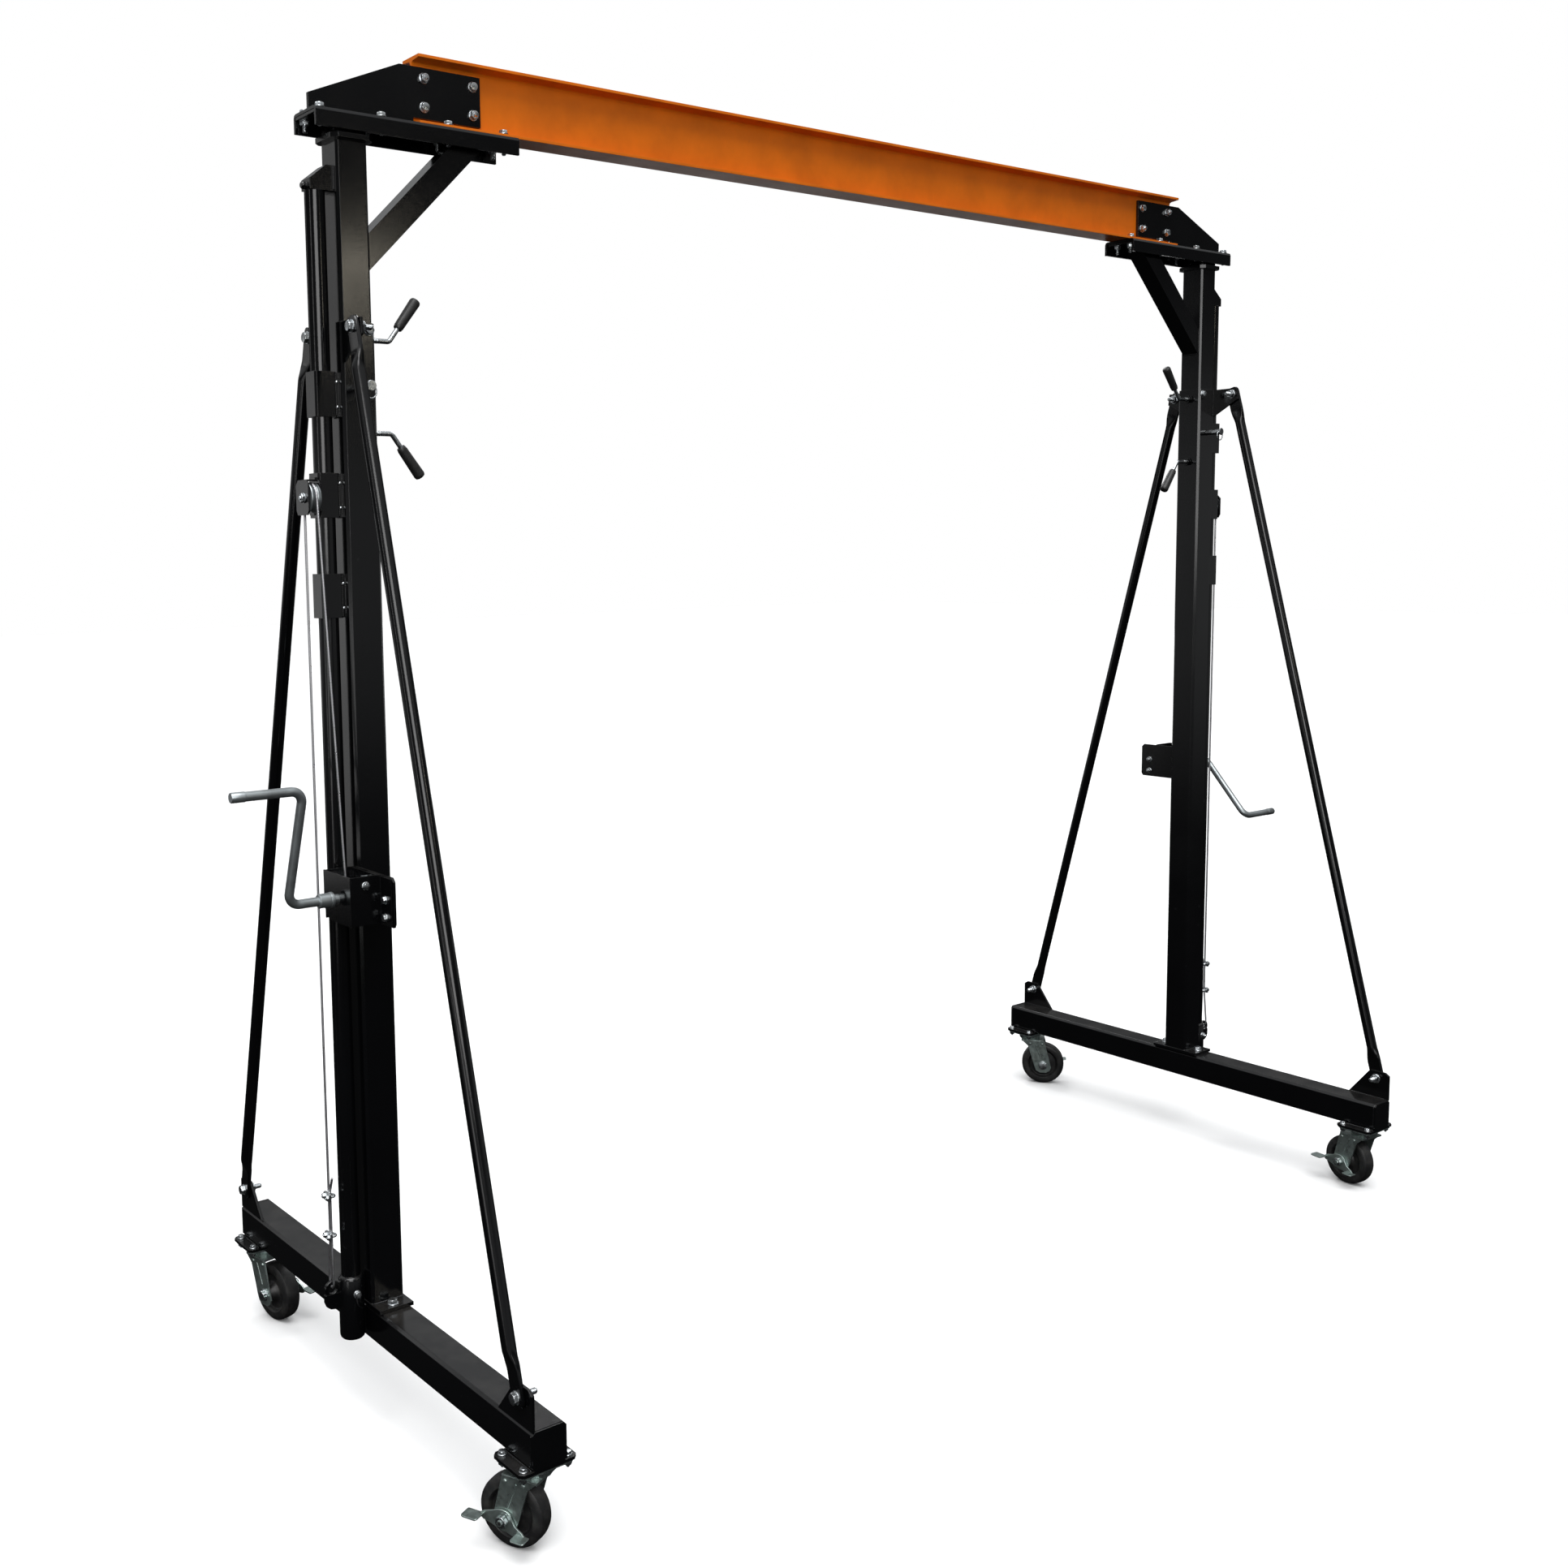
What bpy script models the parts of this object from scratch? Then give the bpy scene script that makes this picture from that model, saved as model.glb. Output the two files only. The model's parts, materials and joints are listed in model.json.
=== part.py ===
"""Telescoping engine hoist crane: an I-beam carried by two single-column end frames on casters.

Units are metres, +Z is up and the floor is z = 0. X runs along the beam. Each end frame is
described once in outward coordinates (out, y, z): "out" is the distance from the column's
centre line away from the middle of the crane. The second frame is the first one turned half
a turn about Z, apart from the crank, pin and caster positions, which are set per side.
"""
import math

import bmesh
import bpy
from mathutils import Matrix, Vector

# ---- driving dimensions -------------------------------------------------------------------
HALF_SPAN = 1.431          # column centre line to the middle of the crane
GAP = 0.0003               # clearance between touching pieces
WELD = 0.0008              # overlap of pieces that are welded into one

BASE_BOTTOM = 0.190        # underside of the base beams
BASE_LENGTH = 1.329
COLUMN_SIZE = 0.0762       # square tube of the base beam and outer column
COLUMN_WALL = 0.0030
COLUMN_TOP = 2.335
FOOT_PLATE = 0.008
FOOT_BOLT_Y = 0.0575

INNER_SIZE = 0.0690        # square tube that slides inside the outer column
INNER_WALL = 0.0040
INNER_BOTTOM = 0.900
LIFT_TRAVEL = 1.200
PIN_PITCH = 0.150          # spacing of the height holes
PIN_HEIGHT = 2.205
PIN_RADIUS = 0.0080
PIN_TRAVEL = 0.0420         # how far the withdrawn pin pushes in

BEAM_BOTTOM = 2.746
BEAM_HEIGHT = 0.138
BEAM_HALF_LENGTH = 1.273
FLANGE_WIDTH = 0.068
FLANGE_TIP = 0.0060        # flange thickness at its edge
FLANGE_ROOT = 0.0085       # and where it meets the web
WEB_THICKNESS = 0.0055
WEB_FILLET = 0.006

CHANNEL_WIDTH = 0.100
CHANNEL_LEG = 0.038
CHANNEL_WALL = 0.006
CHANNEL_INNER_END = -0.387
CHANNEL_OUTER_END = 0.084
HEAD_PLATE = 0.006
WEB_PLATE = 0.008
WEB_BOLT_OUT = (-0.181, -0.298)
WEB_BOLT_Z = (2.785, 2.843)

KNEE_SIZE = 0.052
KNEE_WALL = 0.003
KNEE_FOOT = 2.4770         # height where the knee brace's axis meets the column

LIFT_TUBE_OUT = 0.0681     # axis of the lift tube
LIFT_TUBE_RADIUS = 0.0205
LIFT_TUBE_TOP = 2.5915
CUP_RADIUS = 0.0270
CUP_BOTTOM = 0.200
CUP_TOP = 0.339
GUIDE_TOPS = (2.236, 2.034, 1.831)
GUIDE_HEIGHT = 0.090
GUIDE_SIZE = 0.047

CABLE_RADIUS = 0.0027
CABLE_OUT = 0.113          # plane of the pulley and of the lifting strand
SHEAVE_Y = -0.029
SHEAVE_Z = 1.983
SHEAVE_RADIUS = 0.029      # at the cable's centre
PULLEY_CHEEKS = (0.0985, 0.1245)   # inner faces of the pulley's two side plates
PULLEY_PLATE = 0.003
CABLE_END = 0.576          # where the lifting strand meets its lower clips
CLIP_HEIGHTS = (0.4375, 0.524)
EYE_Z = 0.318              # hole in the cup's lug that takes the cable's loop
EYE_RADIUS = 0.0095
LUG_HALF = 0.0040

DRUM_Y = -0.095
DRUM_Z = 1.178
DRUM_RADIUS = 0.025        # at the cable's centre
CRANK_OUT = 0.205          # plane of the crank's arm
CRANK_ELBOW_OUT = 0.224       # elbow on the shaft, so the arm slants inwards to the handle
CRANK_ARM = 0.240
CRANK_END = 0.355
CRANK_RADIUS = 0.0095
CRANK_ANGLE = {"left": math.radians(102), "right": math.radians(-46.4)}
WINCH_BACK_OUT = 0.0384      # inner face of the bracket plate on the column
WINCH_FLANGE_OUT = 0.0437    # inner face of the winch's own base
WINCH_FACE_OUT = 0.1115      # inner face of the winch's outer plate
WINCH_LOW, WINCH_HIGH = 1.127, 1.228
WINCH_NEAR_Y, WINCH_FAR_Y = -0.151, -0.031
CABLE_LEAVES_OUT = 0.083
WINCH_BOLT_Y = -0.170
WINCH_BOLT_Z = (1.142, 1.178)

EAR_INNER = 0.0311         # brace ears: plates in the outer plane of each frame
EAR_THICK = 0.006
EAR_TOP_Y = 0.100
EAR_TOP_Z = 2.317
EAR_LOW_Y = 0.625
EAR_LOW_Z = 0.322
BRACE_RADIUS = 0.014

CLAMP_HEIGHTS = {"upper": 2.306, "lower": 2.118}
CASTER_Y = 0.6125
PAD_THICK = 0.006
CASTER_PLATE = 0.0047
FORK_TOP = 0.1705
FORK_LEG = (0.0355, 0.0395)    # inner and outer face of the fork's legs
WHEEL_RADIUS = 0.0705
WHEEL_WIDTH = 0.040
TRAIL = 0.045
# direction in which each caster trails, as an angle from +X
CASTERS = {
    "left_front": math.radians(115),
    "left_rear": math.radians(-80),
    "right_front": math.radians(81),
    "right_rear": math.radians(-50),
}

BLACK = (0.012, 0.012, 0.013)
ORANGE = (0.56, 0.19, 0.02)
ZINC = (0.62, 0.63, 0.64)
STEEL = (0.42, 0.43, 0.43)
RUBBER = (0.015, 0.015, 0.015)


# ---- small tools --------------------------------------------------------------------------
def outward(side):
    """Return the function that turns (out, y, z) into world coordinates for one frame."""
    if side == "left":
        return lambda out, y, z: Vector((-HALF_SPAN - out, y, z))
    return lambda out, y, z: Vector((HALF_SPAN + out, -y, z))


def material(name, color, roughness, metallic):
    made = bpy.data.materials.new(name)
    made.use_nodes = True
    shader = made.node_tree.nodes["Principled BSDF"]
    shader.inputs["Base Color"].default_value = (*color, 1.0)
    shader.inputs["Roughness"].default_value = roughness
    shader.inputs["Metallic"].default_value = metallic
    return made


FINISHES = {
    "black": (BLACK, 0.28, 0.0),
    "orange": (ORANGE, 0.35, 0.0),
    "zinc": (ZINC, 0.30, 1.0),
    "steel": (STEEL, 0.45, 1.0),
    "rubber": (RUBBER, 0.60, 0.0),
}


def finish(name, bm, look, origin=(0.0, 0.0, 0.0), smooth=None):
    """Turn closed shells in world coordinates into one named object with the given origin.

    Shells that overlap are welded into one body by a Boolean union.
    """
    bmesh.ops.recalc_face_normals(bm, faces=bm.faces)
    bmesh.ops.translate(bm, verts=bm.verts, vec=-Vector(origin))
    others = beyond_first_shell(bm)
    thing = object_of(name, bm, look, origin)
    if others:
        welds = object_of(name + "_welds", others, look, origin)
        hide(welds)
        union = thing.modifiers.new("welds", "BOOLEAN")
        union.operation = "UNION"
        union.solver = "EXACT"
        union.use_self = True
        union.object = welds
    if smooth:
        thing.data.shade_smooth()
        thing.data.set_sharp_from_angle(angle=math.radians(smooth))
    return thing


def beyond_first_shell(bm):
    """Move every shell but the first into a bmesh of their own; None if there is one shell."""
    bm.faces.ensure_lookup_table()
    first = {bm.faces[0]}
    edge_of_search = [bm.faces[0]]
    while edge_of_search:
        face = edge_of_search.pop()
        for edge in face.edges:
            for neighbour in edge.link_faces:
                if neighbour not in first:
                    first.add(neighbour)
                    edge_of_search.append(neighbour)
    if len(first) == len(bm.faces):
        return None
    others = bm.copy()
    others.faces.ensure_lookup_table()
    indices = {face.index for face in first}
    bmesh.ops.delete(others, geom=[f for f in others.faces if f.index in indices],
                     context="FACES")
    bmesh.ops.delete(bm, geom=[f for f in bm.faces if f not in first], context="FACES")
    return others


def object_of(name, bm, look, origin):
    mesh = bpy.data.meshes.new(name)
    bm.to_mesh(mesh)
    bm.free()
    mesh.materials.append(material(name, *FINISHES[look]))
    thing = bpy.data.objects.new(name, mesh)
    thing.location = origin
    bpy.context.collection.objects.link(thing)
    return thing


def hide(helper):
    helper.hide_render = True
    helper.display_type = "WIRE"


def drill(target, holes):
    """Cut round holes: each is (start, end, radius, sides) in world coordinates."""
    bm = bmesh.new()
    for start, end, radius, sides in holes:
        rod(bm, start, end, radius, sides)
    bmesh.ops.recalc_face_normals(bm, faces=bm.faces)
    cutter = object_of(target.name + "_cutter", bm, "steel", (0.0, 0.0, 0.0))
    hide(cutter)
    cut = target.modifiers.new("holes", "BOOLEAN")
    cut.operation = "DIFFERENCE"
    cut.solver = "EXACT"
    cut.object = cutter


def prism(bm, outline, place, low, high):
    """Extrude a flat outline of (a, b) points; place(a, b, c) gives the world point."""
    count = len(outline)
    ends = [[bm.verts.new(place(a, b, c)) for a, b in outline] for c in (low, high)]
    bm.faces.new(ends[0])
    bm.faces.new(ends[1])
    for i in range(count):
        j = (i + 1) % count
        bm.faces.new((ends[0][i], ends[0][j], ends[1][j], ends[1][i]))


def pipe(bm, outer, inner, place, low, high):
    """Extrude the ring between two outlines that have the same number of points."""
    count = len(outer)
    rings = [[bm.verts.new(place(a, b, c)) for a, b in line]
             for c in (low, high) for line in (outer, inner)]
    for i in range(count):
        j = (i + 1) % count
        for first, second in ((0, 1), (2, 3), (0, 2), (1, 3)):
            one, two = rings[first], rings[second]
            bm.faces.new((one[i], one[j], two[j], two[i]))


def box(bm, place, a, b, c):
    """A box between (low, high) pairs in the place function's coordinates."""
    prism(bm, [(a[0], b[0]), (a[1], b[0]), (a[1], b[1]), (a[0], b[1])], place, *c)


def square(size, corner):
    """A centred square outline with cut corners."""
    h = size / 2
    k = h - corner
    return [(k, -h), (h, -k), (h, k), (k, h), (-k, h), (-h, k), (-h, -k), (-k, -h)]


def frame_of(direction):
    """Two unit vectors across a direction."""
    direction = Vector(direction).normalized()
    helper = Vector((0, 0, 1)) if abs(direction.z) < 0.9 else Vector((1, 0, 0))
    across = direction.cross(helper).normalized()
    return across, direction.cross(across).normalized()


def turned(bm, origin, direction, profile, sides, turn=0.0):
    """A closed turned solid: profile is a list of (distance along the axis, radius)."""
    direction = Vector(direction).normalized()
    across, up = frame_of(direction)
    rings = []
    for along, radius in profile:
        centre = Vector(origin) + direction * along
        ring = []
        for k in range(sides):
            angle = turn + 2 * math.pi * k / sides
            ring.append(bm.verts.new(centre + radius * (math.cos(angle) * across
                                                        + math.sin(angle) * up)))
        rings.append(ring)
    for one, two in zip(rings, rings[1:]):
        for i in range(sides):
            j = (i + 1) % sides
            bm.faces.new((one[i], one[j], two[j], two[i]))
    bm.faces.new(rings[0])
    bm.faces.new(rings[-1])


def wheel_like(bm, origin, direction, profile, sides):
    """A turned solid with a bore: the (along, radius) profile is a closed loop."""
    direction = Vector(direction).normalized()
    across, up = frame_of(direction)
    rings = []
    for k in range(sides):
        angle = 2 * math.pi * k / sides
        spoke = math.cos(angle) * across + math.sin(angle) * up
        rings.append([bm.verts.new(Vector(origin) + direction * along + spoke * radius)
                      for along, radius in profile])
    count = len(profile)
    for k in range(sides):
        one, two = rings[k], rings[(k + 1) % sides]
        for i in range(count):
            j = (i + 1) % count
            bm.faces.new((one[i], one[j], two[j], two[i]))


def rod(bm, start, end, radius, sides=12):
    axis = Vector(end) - Vector(start)
    turned(bm, start, axis, [(0.0, radius), (axis.length, radius)], sides)


def sweep(bm, points, radius, sides=8):
    """A round bar along a path, with flat ends."""
    points = [Vector(p) for p in points]
    steps = [(b - a).normalized() for a, b in zip(points, points[1:])]
    across, _ = frame_of(steps[0])
    rings = []
    for i, point in enumerate(points):
        before = steps[max(i - 1, 0)]
        after = steps[min(i, len(steps) - 1)]
        tangent = (before + after).normalized()
        across = (across - tangent * across.dot(tangent)).normalized()
        up = tangent.cross(across)
        ring = []
        for k in range(sides):
            angle = 2 * math.pi * k / sides
            ring.append(bm.verts.new(point + radius * (math.cos(angle) * across
                                                       + math.sin(angle) * up)))
        rings.append(ring)
    for one, two in zip(rings, rings[1:]):
        for i in range(sides):
            j = (i + 1) % sides
            bm.faces.new((one[i], one[j], two[j], two[i]))
    bm.faces.new(rings[0])
    bm.faces.new(rings[-1])


def bend(centre, start, end, steps=5):
    """Points of a quarter-like bend from start to end about a centre."""
    centre, start, end = Vector(centre), Vector(start), Vector(end)
    one, two = start - centre, end - centre
    angle = one.angle(two)
    axis = one.cross(two).normalized()
    return [centre + Matrix.Rotation(angle * k / steps, 3, axis) @ one for k in range(steps + 1)]


def rounded_path(points, radius, steps=5):
    """A polyline whose inner corners are arcs of the given radius."""
    points = [Vector(p) for p in points]
    path = [points[0]]
    for before, corner, after in zip(points, points[1:], points[2:]):
        back = (before - corner).normalized()
        ahead = (after - corner).normalized()
        half = back.angle(ahead) / 2
        cut = radius / math.tan(half)
        centre = corner + (back + ahead).normalized() * radius / math.sin(half)
        path += bend(centre, corner + back * cut, corner + ahead * cut, steps)
    return path + [points[-1]]


# ---- end frame: welded structure ----------------------------------------------------------
def make_base_beam(side):
    """Square tube with welded end caps, brace ears and the pads that the casters bolt to."""
    at = outward(side)
    bm = bmesh.new()
    middle = BASE_BOTTOM + COLUMN_SIZE / 2
    end = BASE_LENGTH / 2
    cap = 0.005
    along = lambda a, b, c: at(a, c, middle + b)
    pipe(bm, square(COLUMN_SIZE, 0.006), square(COLUMN_SIZE - 2 * COLUMN_WALL, 0.003), along,
         -end + cap - WELD, end - cap + WELD)
    for sign in (-1, 1):
        low, high = sorted((sign * end, sign * (end - cap)))
        prism(bm, square(COLUMN_SIZE - 0.0004, 0.006), along, low, high)
        top = BASE_BOTTOM + COLUMN_SIZE - WELD
        edge = end - 0.0005
        ear = [(sign * edge, top), (sign * edge, EAR_LOW_Z + 0.014),
               (sign * (edge - 0.012), EAR_LOW_Z + 0.022),
               (sign * (EAR_LOW_Y - 0.018), EAR_LOW_Z + 0.022), (sign * (end - 0.120), top)]
        prism(bm, ear, lambda a, b, c: at(c, a, b), EAR_INNER, EAR_INNER + EAR_THICK)
        pad = chamfered(0.0635, 0.0510, 0.008)
        prism(bm, pad, lambda a, b, c: at(a, sign * CASTER_Y + b, c),
              BASE_BOTTOM - PAD_THICK, BASE_BOTTOM + WELD)
    beam = finish("base_beam_" + side, bm, "black")
    holes = []
    for y in (-EAR_LOW_Y, EAR_LOW_Y):
        holes.append((at(EAR_INNER - 0.003, y, EAR_LOW_Z),
                      at(EAR_INNER + EAR_THICK + 0.003, y, EAR_LOW_Z), 0.0066, 8))
    top = BASE_BOTTOM + COLUMN_SIZE
    for y in (-FOOT_BOLT_Y, FOOT_BOLT_Y):
        holes.append((at(0, y, top - 0.012), at(0, y, top + 0.002), 0.0066, 8))
    drill(beam, holes)


def chamfered(a, b, corner):
    """A rectangle's outline with cut corners, from its half sizes."""
    return [(-a + corner, -b), (a - corner, -b), (a, -b + corner), (a, b - corner),
            (a - corner, b), (-a + corner, b), (-a, b - corner), (-a, -b + corner)]


def make_outer_column(side):
    """The fixed column with its foot plate, brace ears, clamp nuts and lift tube guides."""
    at = outward(side)
    bm = bmesh.new()
    foot = BASE_BOTTOM + COLUMN_SIZE + GAP
    pipe(bm, square(COLUMN_SIZE, 0.006), square(COLUMN_SIZE - 2 * COLUMN_WALL, 0.002), at,
         foot + FOOT_PLATE - WELD, COLUMN_TOP)
    box(bm, at, (-0.0402, 0.0402), (-0.076, 0.076), (foot, foot + FOOT_PLATE))
    half = COLUMN_SIZE / 2
    for sign in (-1, 1):
        ear = [(sign * (half - WELD), COLUMN_TOP - 0.001),
               (sign * (EAR_TOP_Y + 0.018), COLUMN_TOP - 0.001),
               (sign * (EAR_TOP_Y + 0.022), COLUMN_TOP - 0.034),
               (sign * (EAR_TOP_Y + 0.010), COLUMN_TOP - 0.040),
               (sign * (half - WELD), COLUMN_TOP - 0.082)]
        prism(bm, ear, lambda a, b, c: at(c, a, b), EAR_INNER - 0.0008,
              EAR_INNER + EAR_THICK - 0.0008)
    inward = at(-1, 0, 0) - at(0, 0, 0)
    for height in CLAMP_HEIGHTS.values():
        turned(bm, at(-half, 0, height), inward, [(-WELD, 0.0115), (0.0100, 0.0115)], 6)
    lift_guides(bm, at)
    column = finish("outer_column_" + side, bm, "black")
    holes = [(at(0, -0.06, PIN_HEIGHT), at(0, 0.06, PIN_HEIGHT), PIN_RADIUS + 0.0006, 12)]
    for y in (-FOOT_BOLT_Y, FOOT_BOLT_Y):
        holes.append((at(0, y, foot - 0.002), at(0, y, foot + 0.010), 0.0066, 8))
    for y in (-EAR_TOP_Y, EAR_TOP_Y):
        holes.append((at(EAR_INNER - 0.004, y, EAR_TOP_Z),
                      at(EAR_INNER + EAR_THICK + 0.003, y, EAR_TOP_Z), 0.0066, 8))
    for height in CLAMP_HEIGHTS.values():
        holes.append((at(-half + 0.007, 0, height), at(-half - 0.012, 0, height), 0.0062, 10))
    holes.append((at(LIFT_TUBE_OUT, 0, GUIDE_TOPS[-1] - GUIDE_HEIGHT - 0.02),
                  at(LIFT_TUBE_OUT, 0, GUIDE_TOPS[0] + 0.02), LIFT_TUBE_RADIUS + 0.0008, 16))
    drill(column, holes)


def lift_guides(bm, at):
    """Three square sleeves for the lift tube, each on two side plates off the column."""
    half = COLUMN_SIZE / 2
    inner_face = LIFT_TUBE_OUT - GUIDE_SIZE / 2
    for top in GUIDE_TOPS:
        low = top - GUIDE_HEIGHT
        prism(bm, square(GUIDE_SIZE, 0.004), lambda a, b, c: at(LIFT_TUBE_OUT + a, b, c),
              low, top)
        for y in (-0.015, 0.015):
            box(bm, at, (half - WELD, inner_face + WELD), (y - 0.004, y + 0.004),
                (low + 0.001, top - 0.001))


def make_brace(side, end):
    """A round brace with flattened, drilled ends; end is "front" or "rear"."""
    at = outward(side)
    sign = {"left": {"front": -1, "rear": 1}, "right": {"front": 1, "rear": -1}}[side][end]
    low = Vector((sign * EAR_LOW_Y, EAR_LOW_Z))
    high = Vector((sign * EAR_TOP_Y, EAR_TOP_Z))
    run = (high - low).normalized()
    cross = Vector((-run.y, run.x))
    length = (high - low).length
    centre_out = EAR_INNER + EAR_THICK + GAP + 0.0045
    flat, flat_width = 0.0045, 0.020
    stations = [(-0.020, flat, 0.012), (-0.014, flat, flat_width), (0.045, flat, flat_width),
                (0.090, BRACE_RADIUS, BRACE_RADIUS)]
    stations += [(length - s, thick, width) for s, thick, width in reversed(stations)]
    bm = bmesh.new()
    rings = []
    sides = 10
    for along, thick, width in stations:
        shift = centre_out + (thick - flat) * 0.35
        ring = []
        for k in range(sides):
            angle = 2 * math.pi * (k + 0.5) / sides
            spot = low + run * along + cross * (width * math.cos(angle))
            ring.append(bm.verts.new(at(shift + thick * flatter(angle, thick), spot.x, spot.y)))
        rings.append(ring)
    for one, two in zip(rings, rings[1:]):
        for i in range(sides):
            j = (i + 1) % sides
            bm.faces.new((one[i], one[j], two[j], two[i]))
    bm.faces.new(rings[0])
    bm.faces.new(rings[-1])
    brace = finish("brace_" + end + "_" + side, bm, "black", smooth=50)
    holes = []
    for point in (low, high):
        holes.append((at(centre_out - 0.02, point.x, point.y),
                      at(centre_out + 0.02, point.x, point.y), 0.0066, 10))
    drill(brace, holes)


def flatter(angle, thick):
    """Sine for a round section, but a flat-sided one where the tube is pressed flat."""
    value = math.sin(angle)
    if thick >= BRACE_RADIUS:
        return value
    return max(-1.0, min(1.0, value * 2.2))


# ---- end frame: pulley, winch, cables, pins ------------------------------------------------


def make_pulley_block(side):
    at = outward(side)
    bm = bmesh.new()
    plate = [(-0.014, -0.034), (0.030, -0.034), (0.036, -0.024), (0.036, 0.026),
             (0.026, 0.036), (-0.012, 0.036), (-0.020, 0.028), (-0.020, -0.026)]
    for low in PULLEY_CHEEKS:
        prism(bm, plate, lambda a, b, c: at(c, SHEAVE_Y + a, SHEAVE_Z + b), low,
              low + PULLEY_PLATE)
    # spacer over the wheel, and the lug that sits on the middle guide
    gap_low = PULLEY_CHEEKS[0] + PULLEY_PLATE - WELD
    gap_high = PULLEY_CHEEKS[1] + WELD
    box(bm, at, (gap_low, gap_high), (SHEAVE_Y - 0.012, SHEAVE_Y + 0.012),
        (SHEAVE_Z + 0.0335, SHEAVE_Z + 0.0365))
    guide_face = LIFT_TUBE_OUT + GUIDE_SIZE / 2
    box(bm, at, (guide_face + GAP, PULLEY_CHEEKS[0] + WELD), (-0.022, 0.004),
        (SHEAVE_Z - 0.030, SHEAVE_Z + 0.042))
    block = finish("pulley_block_" + side, bm, "black")
    drill(block, [(at(guide_face + 0.002, SHEAVE_Y, SHEAVE_Z),
                   at(PULLEY_CHEEKS[1] + 0.01, SHEAVE_Y, SHEAVE_Z), 0.0064, 12)])


def make_sheave(side):
    """The grooved pulley wheel, on the axle that turns with it."""
    at = outward(side)
    low = PULLEY_CHEEKS[0] + PULLEY_PLATE + 0.001
    high = PULLEY_CHEEKS[1] - 0.001
    middle = (low + high) / 2
    groove = SHEAVE_RADIUS - CABLE_RADIUS - GAP
    rim = SHEAVE_RADIUS + 0.0015
    start = PULLEY_CHEEKS[0] + GAP - 0.003
    stations = [(start, 0.006), (low, 0.006), (low, rim), (low + 0.003, rim),
                (middle - 0.003, groove), (middle + 0.003, groove), (high - 0.003, rim),
                (high, rim), (high, 0.006), (PULLEY_CHEEKS[1] + 0.006, 0.006)]
    bm = bmesh.new()
    axis = at(1, 0, 0) - at(0, 0, 0)
    turned(bm, at(0, SHEAVE_Y, SHEAVE_Z), axis, stations, 18)
    finish("pulley_wheel_" + side, bm, "steel", origin=at(CABLE_OUT, SHEAVE_Y, SHEAVE_Z),
           smooth=40)


def make_winch_bracket(side):
    """The plate on the column's outer face that carries the winch."""
    at = outward(side)
    bm = bmesh.new()
    plate = [(-0.195, WINCH_LOW - 0.003), (-0.200, WINCH_LOW + 0.005),
             (-0.200, WINCH_HIGH - 0.010), (-0.192, WINCH_HIGH - 0.002),
             (-0.028, WINCH_HIGH - 0.002), (-0.028, WINCH_LOW - 0.003)]
    prism(bm, plate, lambda a, b, c: at(c, a, b), WINCH_BACK_OUT, WINCH_BACK_OUT + 0.005)
    bracket = finish("winch_bracket_" + side, bm, "black")
    drill(bracket, [(at(0.03, WINCH_BOLT_Y, z), at(0.06, WINCH_BOLT_Y, z), 0.0056, 8)
                    for z in WINCH_BOLT_Z])


def make_winch_housing(side):
    at = outward(side)
    bm = bmesh.new()
    sheet = 0.003
    box(bm, at, (WINCH_FLANGE_OUT, WINCH_FLANGE_OUT + sheet), (-0.196, WINCH_FAR_Y),
        (WINCH_LOW, WINCH_HIGH - 0.004))
    inner, outer = WINCH_FLANGE_OUT + sheet - WELD, WINCH_FACE_OUT + WELD
    for low in (WINCH_NEAR_Y, WINCH_FAR_Y - sheet):
        box(bm, at, (inner, outer), (low + 0.0004, low + sheet),
            (WINCH_LOW + 0.0004, WINCH_HIGH - 0.0004))
    face = [(WINCH_NEAR_Y, WINCH_LOW), (WINCH_FAR_Y - 0.022, WINCH_LOW),
            (WINCH_FAR_Y, WINCH_LOW + 0.024), (WINCH_FAR_Y, WINCH_HIGH),
            (WINCH_NEAR_Y, WINCH_HIGH)]
    prism(bm, face, lambda a, b, c: at(c, a, b), WINCH_FACE_OUT, WINCH_FACE_OUT + sheet)
    housing = finish("winch_housing_" + side, bm, "black")
    holes = [(at(0.03, WINCH_BOLT_Y, z), at(0.06, WINCH_BOLT_Y, z), 0.0056, 10)
             for z in WINCH_BOLT_Z]
    holes.append((at(WINCH_FLANGE_OUT - 0.0001, DRUM_Y, DRUM_Z),
                  at(WINCH_FACE_OUT + 0.01, DRUM_Y, DRUM_Z), CRANK_RADIUS + 0.0006, 14))
    drill(housing, holes)


def make_winch_drum(side):
    """Cable drum with its ratchet wheel, on the crank's shaft."""
    at = outward(side)
    core = DRUM_RADIUS - CABLE_RADIUS - GAP
    low, high = WINCH_FLANGE_OUT + 0.0050, WINCH_FACE_OUT - 0.0020
    bore = CRANK_RADIUS + GAP
    # from the ratchet wheel to the outer rim, with the layer of cable wound on the core
    wound = DRUM_RADIUS + CABLE_RADIUS - 0.0006
    wound_end = CABLE_LEAVES_OUT - CABLE_RADIUS - 0.0008
    loop = [(low, bore), (low, 0.040), (low + 0.006, 0.040), (low + 0.006, wound),
            (wound_end, wound), (wound_end, core), (high - 0.003, core),
            (high - 0.003, 0.036), (high, 0.036), (high, bore)]
    bm = bmesh.new()
    axis = at(1, 0, 0) - at(0, 0, 0)
    wheel_like(bm, at(0, DRUM_Y, DRUM_Z), axis, loop, 18)
    finish("winch_drum_" + side, bm, "steel", origin=at(0, DRUM_Y, DRUM_Z), smooth=40)


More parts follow.
